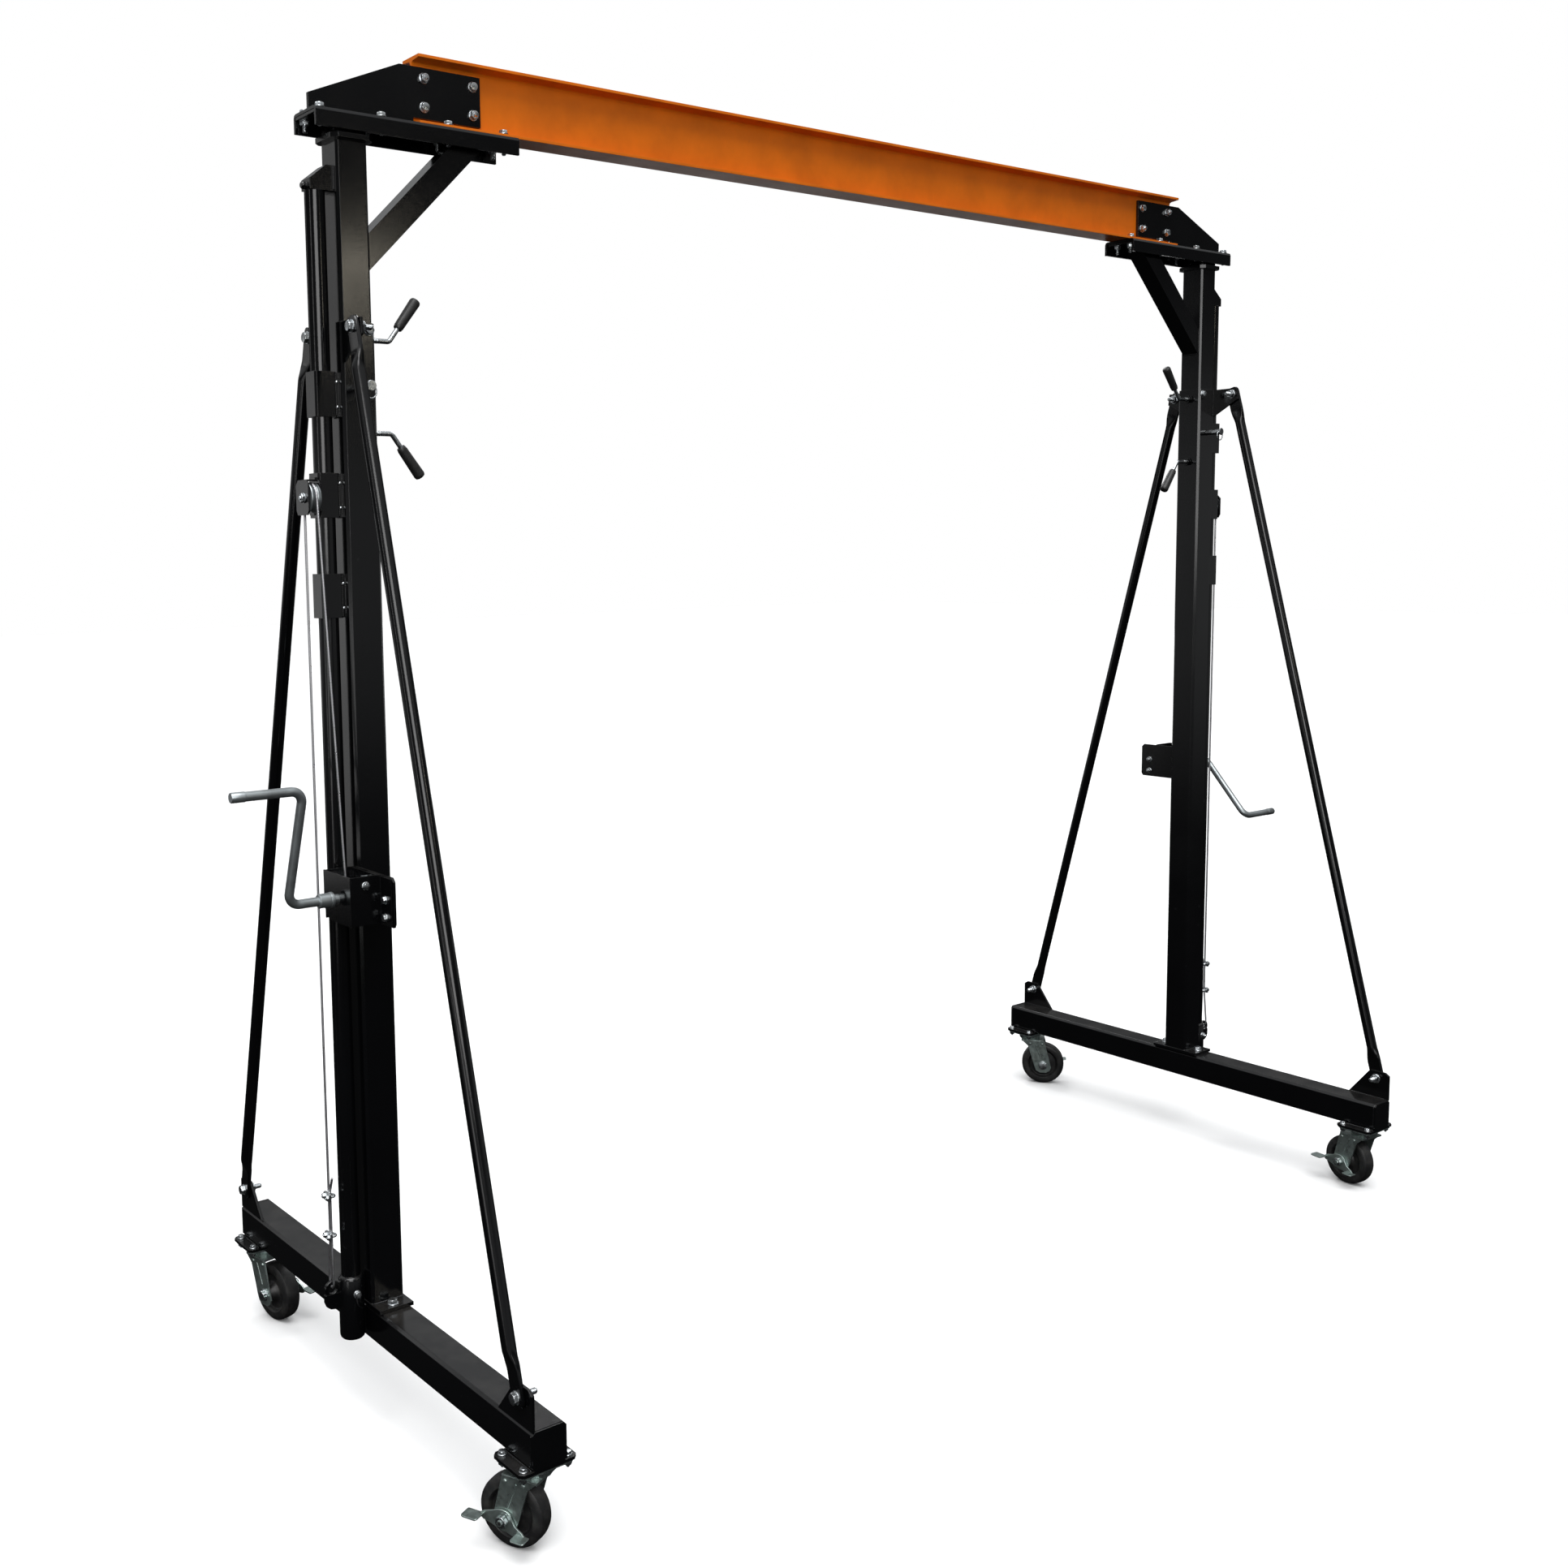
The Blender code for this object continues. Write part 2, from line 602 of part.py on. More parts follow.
def make_crank(side):
    """Shaft, arm and handle bent from one round bar, with a boss outside the winch."""
    at = outward(side)
    angle = CRANK_ANGLE[side]
    reach = Vector((CRANK_ARM * math.cos(angle), CRANK_ARM * math.sin(angle)))
    start = at(WINCH_FLANGE_OUT + 0.0005, DRUM_Y, DRUM_Z)
    elbow = at(CRANK_ELBOW_OUT, DRUM_Y, DRUM_Z)
    tip = at(CRANK_OUT, DRUM_Y + reach.x, DRUM_Z + reach.y)
    end = at(CRANK_END, DRUM_Y + reach.x, DRUM_Z + reach.y)
    bm = bmesh.new()
    sweep(bm, rounded_path([start, elbow, tip, end], 0.024, 4), CRANK_RADIUS, 10)
    face = WINCH_FACE_OUT + 0.003
    turned(bm, at(0, DRUM_Y, DRUM_Z), at(1, 0, 0) - at(0, 0, 0),
           [(face + 0.012, 0.0150), (face + 0.043, 0.0150)], 14)
    finish("winch_crank_" + side, bm, "steel", origin=at(0, DRUM_Y, DRUM_Z), smooth=40)


def make_cables(side):
    """The winding strand and its turn over the pulley, then the lifting strand."""
    at = outward(side)
    path = []
    for k in range(12):
        angle = math.radians(-275 + 25 * k)
        path.append(at(CABLE_LEAVES_OUT, DRUM_Y + DRUM_RADIUS * math.cos(angle),
                       DRUM_Z + DRUM_RADIUS * math.sin(angle)))
    steps = 8
    for k in range(steps + 1):
        angle = math.pi - math.pi * k / steps
        path.append(at(CABLE_OUT, SHEAVE_Y + SHEAVE_RADIUS * math.cos(angle),
                       SHEAVE_Z + SHEAVE_RADIUS * math.sin(angle)))
    bm = bmesh.new()
    sweep(bm, path, CABLE_RADIUS, 6)
    finish("winding_cable_" + side, bm, "zinc", smooth=60)
    bm = bmesh.new()
    strand_y = SHEAVE_Y + SHEAVE_RADIUS
    rod(bm, at(CABLE_OUT, strand_y, SHEAVE_Z - 0.001), at(CABLE_OUT, strand_y, CABLE_END + GAP),
        CABLE_RADIUS, 8)
    finish("lifting_cable_" + side, bm, "zinc", smooth=60)


def make_lock_pin(side):
    """Height pin, drawn back until its tip is in the outer column's wall, with its pull ring."""
    at = outward(side)
    front = -1 if side == "left" else 1
    across = at(0, front, 0) - at(0, 0, 0)
    tip = COLUMN_SIZE / 2 - COLUMN_WALL + 0.0005
    head = COLUMN_SIZE / 2 + PIN_TRAVEL + 0.007
    bm = bmesh.new()
    turned(bm, at(0, 0, PIN_HEIGHT), across,
           [(tip, PIN_RADIUS - 0.001), (tip + 0.002, PIN_RADIUS), (head, PIN_RADIUS),
            (head, 0.0105), (head + 0.003, 0.0105)], 12)
    ring_radius, wire = 0.0135, 0.0016
    centre_z = PIN_HEIGHT + 0.002 - ring_radius
    wire_loop = []
    for k in range(5):
        angle = 2 * math.pi * k / 5
        wire_loop.append((head - 0.003 + wire * math.cos(angle),
                          ring_radius + wire * math.sin(angle)))
    wheel_like(bm, at(0, 0, centre_z), across, wire_loop, 14)
    finish("lock_pin_" + side, bm, "zinc", origin=at(0, 0, PIN_HEIGHT), smooth=50)


def make_clamp_handle(side, level):
    """A clamp screw with a cranked rod and a grip, on the column's inner face."""
    at = outward(side)
    height = CLAMP_HEIGHTS[level]
    up = 1 if level == "upper" else -1
    half = COLUMN_SIZE / 2
    tip = -half + COLUMN_WALL
    bm = bmesh.new()
    elbow = at(-half - 0.051, 0, height)
    end = at(-half - 0.1155, 0, height + up * 0.086)
    path = rounded_path([at(tip, 0, height), elbow, end], 0.010, 4)
    sweep(bm, path, 0.0055, 8)
    slant = (end - elbow).normalized()
    grip_start = elbow + slant * 0.034
    grip = [(0.0, 0.0095), (0.010, 0.0115), (0.068, 0.0122), (0.077, 0.0088)]
    turned(bm, grip_start, slant, grip, 12)
    finish("clamp_handle_" + level + "_" + side, bm, "rubber", origin=at(-half, 0, height),
           smooth=50)


# ---- casters ------------------------------------------------------------------------------
def caster_place(key):
    """place(a, b, c): a along the caster's trail, b along its axle towards the brake, c up."""
    side, end = key.split("_")
    x = -HALF_SPAN if side == "left" else HALF_SPAN
    y = -CASTER_Y if end == "front" else CASTER_Y
    turn = Matrix.Rotation(CASTERS[key], 4, "Z")
    swivel = Vector((x, y, 0.0))
    return lambda a, b, c: swivel + turn @ Vector((a, b, c))


def make_caster_plate(key):
    """Top plate of one caster with the upper race of its swivel."""
    side, end = key.split("_")
    at = outward(side)
    sign = {"left": {"front": -1, "rear": 1}, "right": {"front": 1, "rear": -1}}[side][end]
    top = BASE_BOTTOM - PAD_THICK - GAP
    low = top - CASTER_PLATE
    bm = bmesh.new()
    prism(bm, chamfered(0.0600, 0.0480, 0.008), lambda a, b, c: at(a, sign * CASTER_Y + b, c),
          low, top)
    turned(bm, at(0, sign * CASTER_Y, low), (0, 0, -1),
           [(-WELD, 0.030), (0.003, 0.034), (low - FORK_TOP - GAP, 0.034)], 16)
    finish("caster_plate_" + key, bm, "zinc")


def make_fork(key):
    place = caster_place(key)
    bm = bmesh.new()
    # swivel crown over two straps that sweep back to the axle
    turned(bm, place(0, 0, FORK_TOP - 0.012), (0, 0, 1), [(0.0, 0.034), (0.012, 0.036)], 16)
    crown_low = FORK_TOP - 0.0125
    low, high = FORK_LEG
    box(bm, place, (-0.0280, 0.0495), (-high + 0.0004, high - 0.0004),
        (crown_low - 0.004, crown_low + 0.0005 + WELD))
    leg = [(-0.0270, crown_low - 0.0008), (-0.0060, 0.138), (0.0175, 0.063), (0.0225, 0.051),
           (0.0350, 0.0445), (0.0550, 0.0445), (0.0675, 0.051), (0.0725, 0.063),
           (0.0540, 0.138), (0.0490, crown_low - 0.0008)]
    for start in (-high, low):
        prism(bm, leg, lambda a, b, c: place(a, c, b), start, start + high - low)
    # axle: bolt head on one side, nut on the brake's side
    side = place(0, 1, 0) - place(0, 0, 0)
    far = high + 0.0065
    turned(bm, place(TRAIL, 0, WHEEL_RADIUS), side,
           [(-high - 0.008, 0.0120), (-high + WELD, 0.0120), (-high + WELD, 0.006),
            (far, 0.006), (far, 0.0120), (far + 0.009, 0.0120), (far + 0.009, 0.006),
            (far + 0.013, 0.006)], 6)
    finish("caster_fork_" + key, bm, "zinc", origin=place(0, 0, FORK_TOP))


def make_wheel(key):
    place = caster_place(key)
    half = WHEEL_WIDTH / 2
    hub = FORK_LEG[0] - 0.0010
    tyre = WHEEL_RADIUS
    loop = [(-hub, 0.0067), (-hub, 0.015), (-0.012, 0.019), (-half, 0.049),
            (-half, tyre - 0.006), (-half + 0.006, tyre), (half - 0.006, tyre),
            (half, tyre - 0.006), (half, 0.049), (0.012, 0.019), (hub, 0.015), (hub, 0.0067)]
    bm = bmesh.new()
    axis = place(0, 1, 0) - place(0, 0, 0)
    wheel_like(bm, place(TRAIL, 0, WHEEL_RADIUS), axis, loop, 24)
    finish("caster_wheel_" + key, bm, "rubber", origin=place(TRAIL, 0, WHEEL_RADIUS), smooth=35)


def make_brake_pedal(key):
    """Rocker brake on the axle: a foot tab behind the wheel and a release tab before it."""
    place = caster_place(key)
    low = FORK_LEG[1] + 0.0012
    top = low + 0.0040
    spot = lambda a, b, c: place(TRAIL + a, c, WHEEL_RADIUS + b)
    bm = bmesh.new()
    rocker = [(-0.012, 0.018), (0.012, 0.019), (0.048, 0.006), (0.050, -0.008), (0.018, -0.019),
              (-0.004, -0.022), (-0.034, -0.032), (-0.044, -0.030), (-0.046, -0.020)]
    prism(bm, rocker, spot, low, top)
    box(bm, spot, (0.0440, 0.0800), (-0.0040, -0.0005), (low + 0.0004, low + 0.0300))
    box(bm, spot, (-0.0560, -0.0260), (-0.0260, -0.0225), (low + 0.0004, low + 0.0260))
    pedal = finish("brake_pedal_" + key, bm, "zinc", origin=place(TRAIL, 0, WHEEL_RADIUS))
    drill(pedal, [(spot(0, 0, low - 0.002), spot(0, 0, top + 0.002), 0.0066, 12)])


# ---- rising upper part --------------------------------------------------------------------
def make_i_beam():
    half_height = BEAM_HEIGHT / 2
    half_width = FLANGE_WIDTH / 2
    half_web = WEB_THICKNESS / 2
    tip = half_height - FLANGE_TIP
    root = half_height - FLANGE_ROOT
    quarter = [(half_width, half_height), (half_width, tip),
               (half_web + WEB_FILLET, root), (half_web + 0.0018, root - 0.0018),
               (half_web, root - WEB_FILLET)]
    mirror = [(a, -b) for a, b in reversed(quarter)]
    right = quarter + mirror
    outline = right + [(-a, -b) for a, b in right]
    middle = BEAM_BOTTOM + half_height
    bm = bmesh.new()
    prism(bm, outline, lambda a, b, c: Vector((c, a, middle + b)), -BEAM_HALF_LENGTH,
          BEAM_HALF_LENGTH)
    beam = finish("i_beam", bm, "orange")
    holes = []
    for sign in (-1, 1):
        for out in WEB_BOLT_OUT:
            for z in WEB_BOLT_Z:
                x = sign * (HALF_SPAN + out)
                holes.append((Vector((x, -0.02, z)), Vector((x, 0.02, z)), 0.0056, 8))
    drill(beam, holes)


def make_head_channel(side):
    at = outward(side)
    half = CHANNEL_WIDTH / 2
    top = BEAM_BOTTOM - GAP
    inner = half - CHANNEL_WALL
    soffit = top - CHANNEL_WALL
    low = top - CHANNEL_LEG
    outline = [(-half, low), (-half, top - 0.008), (-half + 0.0023, top - 0.0023),
               (-half + 0.008, top), (half - 0.008, top), (half - 0.0023, top - 0.0023),
               (half, top - 0.008), (half, low), (inner, low), (inner, soffit),
               (-inner, soffit), (-inner, low)]
    bm = bmesh.new()
    prism(bm, outline, lambda a, b, c: at(c, a, b), CHANNEL_INNER_END, CHANNEL_OUTER_END)
    finish("head_channel_" + side, bm, "black")


def make_inner_column(side):
    at = outward(side)
    plate_top = BEAM_BOTTOM - GAP - CHANNEL_WALL - GAP
    plate_low = plate_top - HEAD_PLATE
    bm = bmesh.new()
    pipe(bm, square(INNER_SIZE, 0.005), square(INNER_SIZE - 2 * INNER_WALL, 0.002), at,
         INNER_BOTTOM, plate_low + WELD)
    box(bm, at, (-0.088, 0.083), (-0.043, 0.043), (plate_low, plate_top))
    pipe(bm, square(0.092, 0.012), square(INNER_SIZE - 2 * WELD, 0.004), at, 2.692, 2.702)
    column = finish("inner_column_" + side, bm, "black")
    holes = []
    for k in range(round(LIFT_TRAVEL / PIN_PITCH) + 1):
        z = PIN_HEIGHT - k * PIN_PITCH
        holes.append((at(0, -0.05, z), at(0, 0.05, z), PIN_RADIUS + 0.0011, 8))
    drill(column, holes)


def make_web_plate(side):
    """Side plate that bolts the beam's web to the head channel; it is on the front side."""
    at = outward(side)
    front = 1 if side == "left" else -1
    foot = BEAM_BOTTOM
    clear_end = BEAM_HALF_LENGTH - HALF_SPAN + 0.003
    outline = [(0.080, foot), (0.080, 2.778), (-0.125, 2.864), (-0.316, 2.864),
               (-0.316, 2.762), (clear_end, 2.762), (clear_end, foot)]
    near = -front * (WEB_THICKNESS / 2 + GAP)
    far = near - front * WEB_PLATE
    bm = bmesh.new()
    prism(bm, outline, lambda a, b, c: at(a, c, b), min(near, far), max(near, far))
    plate = finish("web_plate_" + side, bm, "black")
    drill(plate, [(at(out, near + front * 0.004, z), at(out, far - front * 0.004, z), 0.0056, 8)
                  for out in WEB_BOLT_OUT for z in WEB_BOLT_Z])


def make_knee_brace(side):
    """Square tube at 45 degrees between the column and a plate under the channel."""
    at = outward(side)
    plate_top = BEAM_BOTTOM - GAP - CHANNEL_WALL - GAP
    plate_low = plate_top - HEAD_PLATE
    wall_out = -INNER_SIZE / 2 - GAP
    top = plate_low + WELD
    bm = bmesh.new()
    rings = []
    for shrink in (0.0, KNEE_WALL):
        h = KNEE_SIZE / 2 - shrink
        for cut in ("column", "plate"):
            ring = []
            for across, y in ((-h, -h), (h, -h), (h, h), (-h, h)):
                rise = KNEE_FOOT + across * math.sqrt(2)
                if cut == "column":
                    ring.append(bm.verts.new(at(wall_out, y, rise)))
                else:
                    ring.append(bm.verts.new(at(wall_out - (top - rise), y, top)))
            rings.append(ring)
    outer_low, outer_high, inner_low, inner_high = rings
    for one, two in ((outer_low, outer_high), (inner_low, inner_high), (outer_low, inner_low),
                     (outer_high, inner_high)):
        for i in range(4):
            j = (i + 1) % 4
            bm.faces.new((one[i], one[j], two[j], two[i]))
    box(bm, at, (-0.383, -0.200), (-0.042, 0.042), (plate_low, plate_top))
    finish("knee_brace_" + side, bm, "black")


def make_lift_tube(side):
    """The tube that pushes the column up: bottom cup, cable eye and bracket at the top."""
    at = outward(side)
    face = INNER_SIZE / 2
    bm = bmesh.new()
    centre = at(LIFT_TUBE_OUT, 0, 0)
    up = (0, 0, 1)
    loop = [(CUP_TOP - WELD, LIFT_TUBE_RADIUS), (LIFT_TUBE_TOP, LIFT_TUBE_RADIUS),
            (LIFT_TUBE_TOP, LIFT_TUBE_RADIUS - 0.003), (CUP_TOP - WELD, LIFT_TUBE_RADIUS - 0.003)]
    wheel_like(bm, centre, up, loop, 16)
    turned(bm, centre, up, [(CUP_BOTTOM, 0.021), (CUP_BOTTOM + 0.003, 0.0255),
                            (CUP_BOTTOM + 0.009, CUP_RADIUS), (CUP_TOP - 0.006, CUP_RADIUS),
                            (CUP_TOP, 0.0225)], 16)
    wedge = [(face + GAP, LIFT_TUBE_TOP - WELD), (face + GAP, 2.641), (0.050, 2.641),
             (0.087, 2.612), (0.087, LIFT_TUBE_TOP - WELD)]
    prism(bm, wedge, lambda a, b, c: at(a, c, b), -0.0195, 0.0195)
    outwards = at(1, 0, 0) - at(0, 0, 0)
    turned(bm, at(0.087 - WELD, 0, 2.5995), outwards, [(0.0, 0.0075), (0.0085, 0.0075),
                                                      (0.0110, 0.0055)], 10)
    # lug with the cable's eye on the outer side of the cup
    edge = LIFT_TUBE_OUT + CUP_RADIUS - 0.004
    lug = [(edge, 0.2700), (CABLE_OUT + 0.005, 0.2745), (CABLE_OUT + 0.0135, 0.2810),
           (CABLE_OUT + 0.0180, 0.2920), (CABLE_OUT + 0.0180, 0.3255),
           (CABLE_OUT + 0.0140, 0.3345), (CABLE_OUT + 0.0060, 0.3400),
           (CABLE_OUT - 0.0060, 0.3400), (CABLE_OUT - 0.0130, 0.3360), (edge, 0.3320)]
    prism(bm, lug, lambda a, b, c: at(a, c, b), -LUG_HALF, LUG_HALF)
    tube = finish("lift_tube_" + side, bm, "black", smooth=40)
    # cross hole near the top, which also opens the tube's hollow, and the eye
    drill(tube, [(at(LIFT_TUBE_OUT, -0.03, 2.570), at(LIFT_TUBE_OUT, 0.03, 2.570), 0.004, 8),
                 (at(CABLE_OUT, -0.01, EYE_Z), at(CABLE_OUT, 0.01, EYE_Z), EYE_RADIUS, 12)])


def make_cable_anchor(side):
    """The cable's loop through the eye, its tail and the two clips that close the loop."""
    at = outward(side)
    y = SHEAVE_Y + SHEAVE_RADIUS
    spread = 0.0084
    tail = 0.0066
    bottom = EYE_Z + EYE_RADIUS - CABLE_RADIUS - 0.0026
    bm = bmesh.new()
    path = [at(CABLE_OUT, y, CABLE_END), at(CABLE_OUT, y, CLIP_HEIGHTS[0]),
            at(CABLE_OUT, y + spread, bottom + spread * 2.6)]
    for k in range(7):
        angle = math.radians(-180 * k / 6)
        path.append(at(CABLE_OUT, y + spread * math.cos(angle),
                       bottom + spread * (1 + math.sin(angle))))
    path += [at(CABLE_OUT, y - spread, bottom + spread * 2.6),
             at(CABLE_OUT, y - tail, CLIP_HEIGHTS[0]),
             at(CABLE_OUT, y - tail, CLIP_HEIGHTS[1] + 0.012),
             at(CABLE_OUT, y - tail - 0.012, CABLE_END - 0.008)]
    sweep(bm, path, CABLE_RADIUS, 6)
    for z in CLIP_HEIGHTS:
        box(bm, at, (CABLE_OUT - 0.0130, CABLE_OUT - 0.0010), (y - 0.0155, y + 0.0090),
            (z - 0.0095, z + 0.0095))
        box(bm, at, (CABLE_OUT - 0.0030, CABLE_OUT + 0.0100), (y - 0.0145, y + 0.0080),
            (z - 0.0080, z + 0.0080))
    finish("cable_anchor_" + side, bm, "zinc", smooth=50)


# ---- assembly -----------------------------------------------------------------------------
def clear_scene():
    for thing in list(bpy.data.objects):
        bpy.data.objects.remove(thing)


def make_end_frame(side):
    make_base_beam(side)
    make_outer_column(side)
    for end in ("front", "rear"):
        make_brace(side, end)
    make_pulley_block(side)
    make_sheave(side)
    make_winch_bracket(side)
    make_winch_housing(side)
    make_winch_drum(side)
    make_crank(side)
    make_cables(side)
    make_lock_pin(side)
    for level in CLAMP_HEIGHTS:
        make_clamp_handle(side, level)


def make_upper_part(side):
    make_inner_column(side)
    make_head_channel(side)
    make_web_plate(side)
    make_knee_brace(side)
    make_lift_tube(side)
    make_cable_anchor(side)


def main():
    clear_scene()
    for side in ("left", "right"):
        make_end_frame(side)
        make_upper_part(side)
    make_i_beam()
    for key in CASTERS:
        make_caster_plate(key)
        make_fork(key)
        make_wheel(key)
        make_brake_pedal(key)


main()
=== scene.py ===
"""Looks for the telescoping engine hoist crane: materials, small parts, light and camera.

Units are metres in the CAD's frame. Each end frame is described in outward coordinates
(out, y, z), as in the CAD: out is the distance from the column's centre line away from the
middle of the crane, and the right frame is the left one turned half a turn about Z.
"""
import json
import math

import bmesh
import bpy
from mathutils import Matrix, Vector


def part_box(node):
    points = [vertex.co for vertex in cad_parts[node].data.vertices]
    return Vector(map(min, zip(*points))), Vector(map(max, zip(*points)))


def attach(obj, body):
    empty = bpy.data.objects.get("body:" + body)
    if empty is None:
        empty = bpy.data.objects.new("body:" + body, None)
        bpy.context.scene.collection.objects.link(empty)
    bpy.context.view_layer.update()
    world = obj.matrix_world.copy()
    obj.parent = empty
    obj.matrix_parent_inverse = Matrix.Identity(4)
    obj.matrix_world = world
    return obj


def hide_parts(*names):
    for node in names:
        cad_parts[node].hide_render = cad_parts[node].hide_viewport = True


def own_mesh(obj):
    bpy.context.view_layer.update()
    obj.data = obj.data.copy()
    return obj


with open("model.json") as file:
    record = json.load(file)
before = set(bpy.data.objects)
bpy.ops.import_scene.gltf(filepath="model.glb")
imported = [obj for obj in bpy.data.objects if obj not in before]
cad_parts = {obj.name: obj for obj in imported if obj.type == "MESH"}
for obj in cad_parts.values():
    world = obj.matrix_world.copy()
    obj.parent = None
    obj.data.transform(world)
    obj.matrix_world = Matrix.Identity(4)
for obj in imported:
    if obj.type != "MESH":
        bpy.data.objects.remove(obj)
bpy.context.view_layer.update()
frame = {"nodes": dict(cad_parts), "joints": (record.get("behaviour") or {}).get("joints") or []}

nodes = frame["nodes"]
joints = {joint["name"]: joint for joint in frame["joints"]}

SIDES = ("left", "right")
CASTERS = ("left_front", "left_rear", "right_front", "right_rear")


# ---- positions, read from the CAD ---------------------------------------------------------
def corners(node):
    low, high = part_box(node)
    return Vector(low), Vector(high)


column_low, _ = corners("outer_column_right")
SPAN = abs(joints["swivel_turn_right_front"]["pos_m"][0])
beam_low, _ = corners("i_beam")


def outward(side):
    """Return the function that turns (out, y, z) into world coordinates for one frame."""
    if side == "left":
        return lambda out, y, z: Vector((-SPAN - out, y, z))
    return lambda out, y, z: Vector((SPAN + out, -y, z))


def direction(side, out, y, z):
    return outward(side)(out, y, z) - outward(side)(0, 0, 0)


# ---- materials ----------------------------------------------------------------------------
BEVEL_SAMPLES = 6


class Surface:
    """A node material that is built up step by step around one Principled BSDF."""

    def __init__(self, name, roughness, edge, metallic=0.0):
        self.material = bpy.data.materials.new(name)
        self.material.use_nodes = True
        self.tree = self.material.node_tree
        self.shader = self.tree.nodes["Principled BSDF"]
        self.shader.inputs["Roughness"].default_value = roughness
        self.shader.inputs["Metallic"].default_value = metallic
        self.place = self.add("ShaderNodeTexCoord").outputs["Object"]
        bevel = self.add("ShaderNodeBevel")
        bevel.samples = BEVEL_SAMPLES
        bevel.inputs["Radius"].default_value = edge
        self.normal = bevel.outputs["Normal"]
        self.link(self.normal, self.shader.inputs["Normal"])

    def add(self, kind):
        return self.tree.nodes.new(kind)

    def link(self, source, target):
        self.tree.links.new(source, target)

    def stretched(self, scale):
        mapping = self.add("ShaderNodeMapping")
        mapping.inputs["Scale"].default_value = scale
        self.link(self.place, mapping.inputs["Vector"])
        return mapping.outputs["Vector"]

    def noise(self, scale, detail=3.0, roughness=0.55, at=None):
        texture = self.add("ShaderNodeTexNoise")
        texture.inputs["Scale"].default_value = scale
        texture.inputs["Detail"].default_value = detail
        texture.inputs["Roughness"].default_value = roughness
        self.link(at or self.place, texture.inputs["Vector"])
        return texture.outputs["Fac"]

    def cells(self, scale):
        texture = self.add("ShaderNodeTexVoronoi")
        texture.inputs["Scale"].default_value = scale
        self.link(self.place, texture.inputs["Vector"])
        return texture.outputs["Distance"]

    def ramp(self, value, stops):
        """Colour or grey between (position, value) stops."""
        node = self.add("ShaderNodeValToRGB")
        elements = node.color_ramp.elements
        for i, (position, color) in enumerate(stops):
            element = elements[i] if i < 2 else elements.new(position)
            element.position = position
            color = color if isinstance(color, tuple) else (color, color, color)
            element.color = (*color, 1.0)
        self.link(value, node.inputs["Fac"])
        return node.outputs["Color"]

    def mix(self, factor, one, two):
        node = self.add("ShaderNodeMix")
        node.data_type = "RGBA"
        self.link(factor, node.inputs["Factor"])
        for value, socket in ((one, node.inputs[6]), (two, node.inputs[7])):
            if isinstance(value, tuple):
                socket.default_value = (*value, 1.0)
            else:
                self.link(value, socket)
        return node.outputs[2]

    def upward(self, start, end):
        """0 to 1 as the surface turns to face up."""
        normal = self.add("ShaderNodeNewGeometry").outputs["Normal"]
        split = self.add("ShaderNodeSeparateXYZ")
        self.link(normal, split.inputs["Vector"])
        spread = self.add("ShaderNodeMapRange")
        spread.inputs["From Min"].default_value = start
        spread.inputs["From Max"].default_value = end
        self.link(split.outputs["Z"], spread.inputs["Value"])
        return spread.outputs["Result"]

    def times(self, one, two):
        node = self.add("ShaderNodeMath")
        node.operation = "MULTIPLY"
        self.link(one, node.inputs[0])
        self.link(two, node.inputs[1])
        return node.outputs["Value"]

    def color(self, source):
        self.link(source, self.shader.inputs["Base Color"])

    def rough(self, source):
        self.link(source, self.shader.inputs["Roughness"])

    def bump(self, height, strength, distance):
        node = self.add("ShaderNodeBump")
        node.inputs["Strength"].default_value = strength
        node.inputs["Distance"].default_value = distance
        self.link(height, node.inputs["Height"])
        self.link(self.normal, node.inputs["Normal"])
        self.normal = node.outputs["Normal"]
        self.link(self.normal, self.shader.inputs["Normal"])


def powder_coat(name, base, worn, peel, roughness, gloss):
    """Gloss powder coat: orange peel, faint mottling, settled dust and small rubbed marks."""
    made = Surface(name, roughness, 0.0012)
    made.shader.inputs["Specular IOR Level"].default_value = gloss
    darker = tuple(0.82 * c for c in base)
    mottle = made.ramp(made.noise(9.0, 4.0), [(0.35, darker), (0.65, base)])
    rubbed = made.ramp(made.noise(46.0, 8.0, 0.72), [(0.66, 0.0), (0.72, 1.0)])
    marks = made.mix(rubbed, mottle, worn)
    dust = made.ramp(made.noise(14.0, 5.0), [(0.4, 0.01), (0.75, 0.10)])
    settled = made.times(made.upward(0.6, 1.0), dust)
    made.color(made.mix(settled, marks, (0.16, 0.15, 0.14)))
    spread = [(0.3, roughness), (0.7, roughness + 0.06)]
    made.rough(made.ramp(made.noise(6.0, 5.0), spread))
    made.bump(made.noise(peel, 2.0), 0.16, 0.00035)
    made.bump(made.noise(90.0, 2.0), 0.05, 0.0008)
    return made.material


def plated(name, base, roughness, spangle, metallic=1.0):
    """Zinc plate: cells of slightly different grey, a faint yellow tint, scuffs."""
    made = Surface(name, roughness, 0.0008, metallic)
    darker = tuple(0.86 * c for c in base)
    grain = made.ramp(made.cells(spangle), [(0.1, darker), (0.9, base)])
    tint = made.ramp(made.noise(30.0, 4.0), [(0.5, 0.0), (0.8, 0.35)])
    made.color(made.mix(tint, grain, (base[0] * 0.95, base[1] * 0.90, base[2] * 0.78)))
    spread = [(0.3, roughness - 0.08), (0.7, roughness + 0.14)]
    made.rough(made.ramp(made.noise(80.0, 6.0), spread))
    made.bump(made.noise(420.0, 3.0), 0.07, 0.0002)
    return made.material


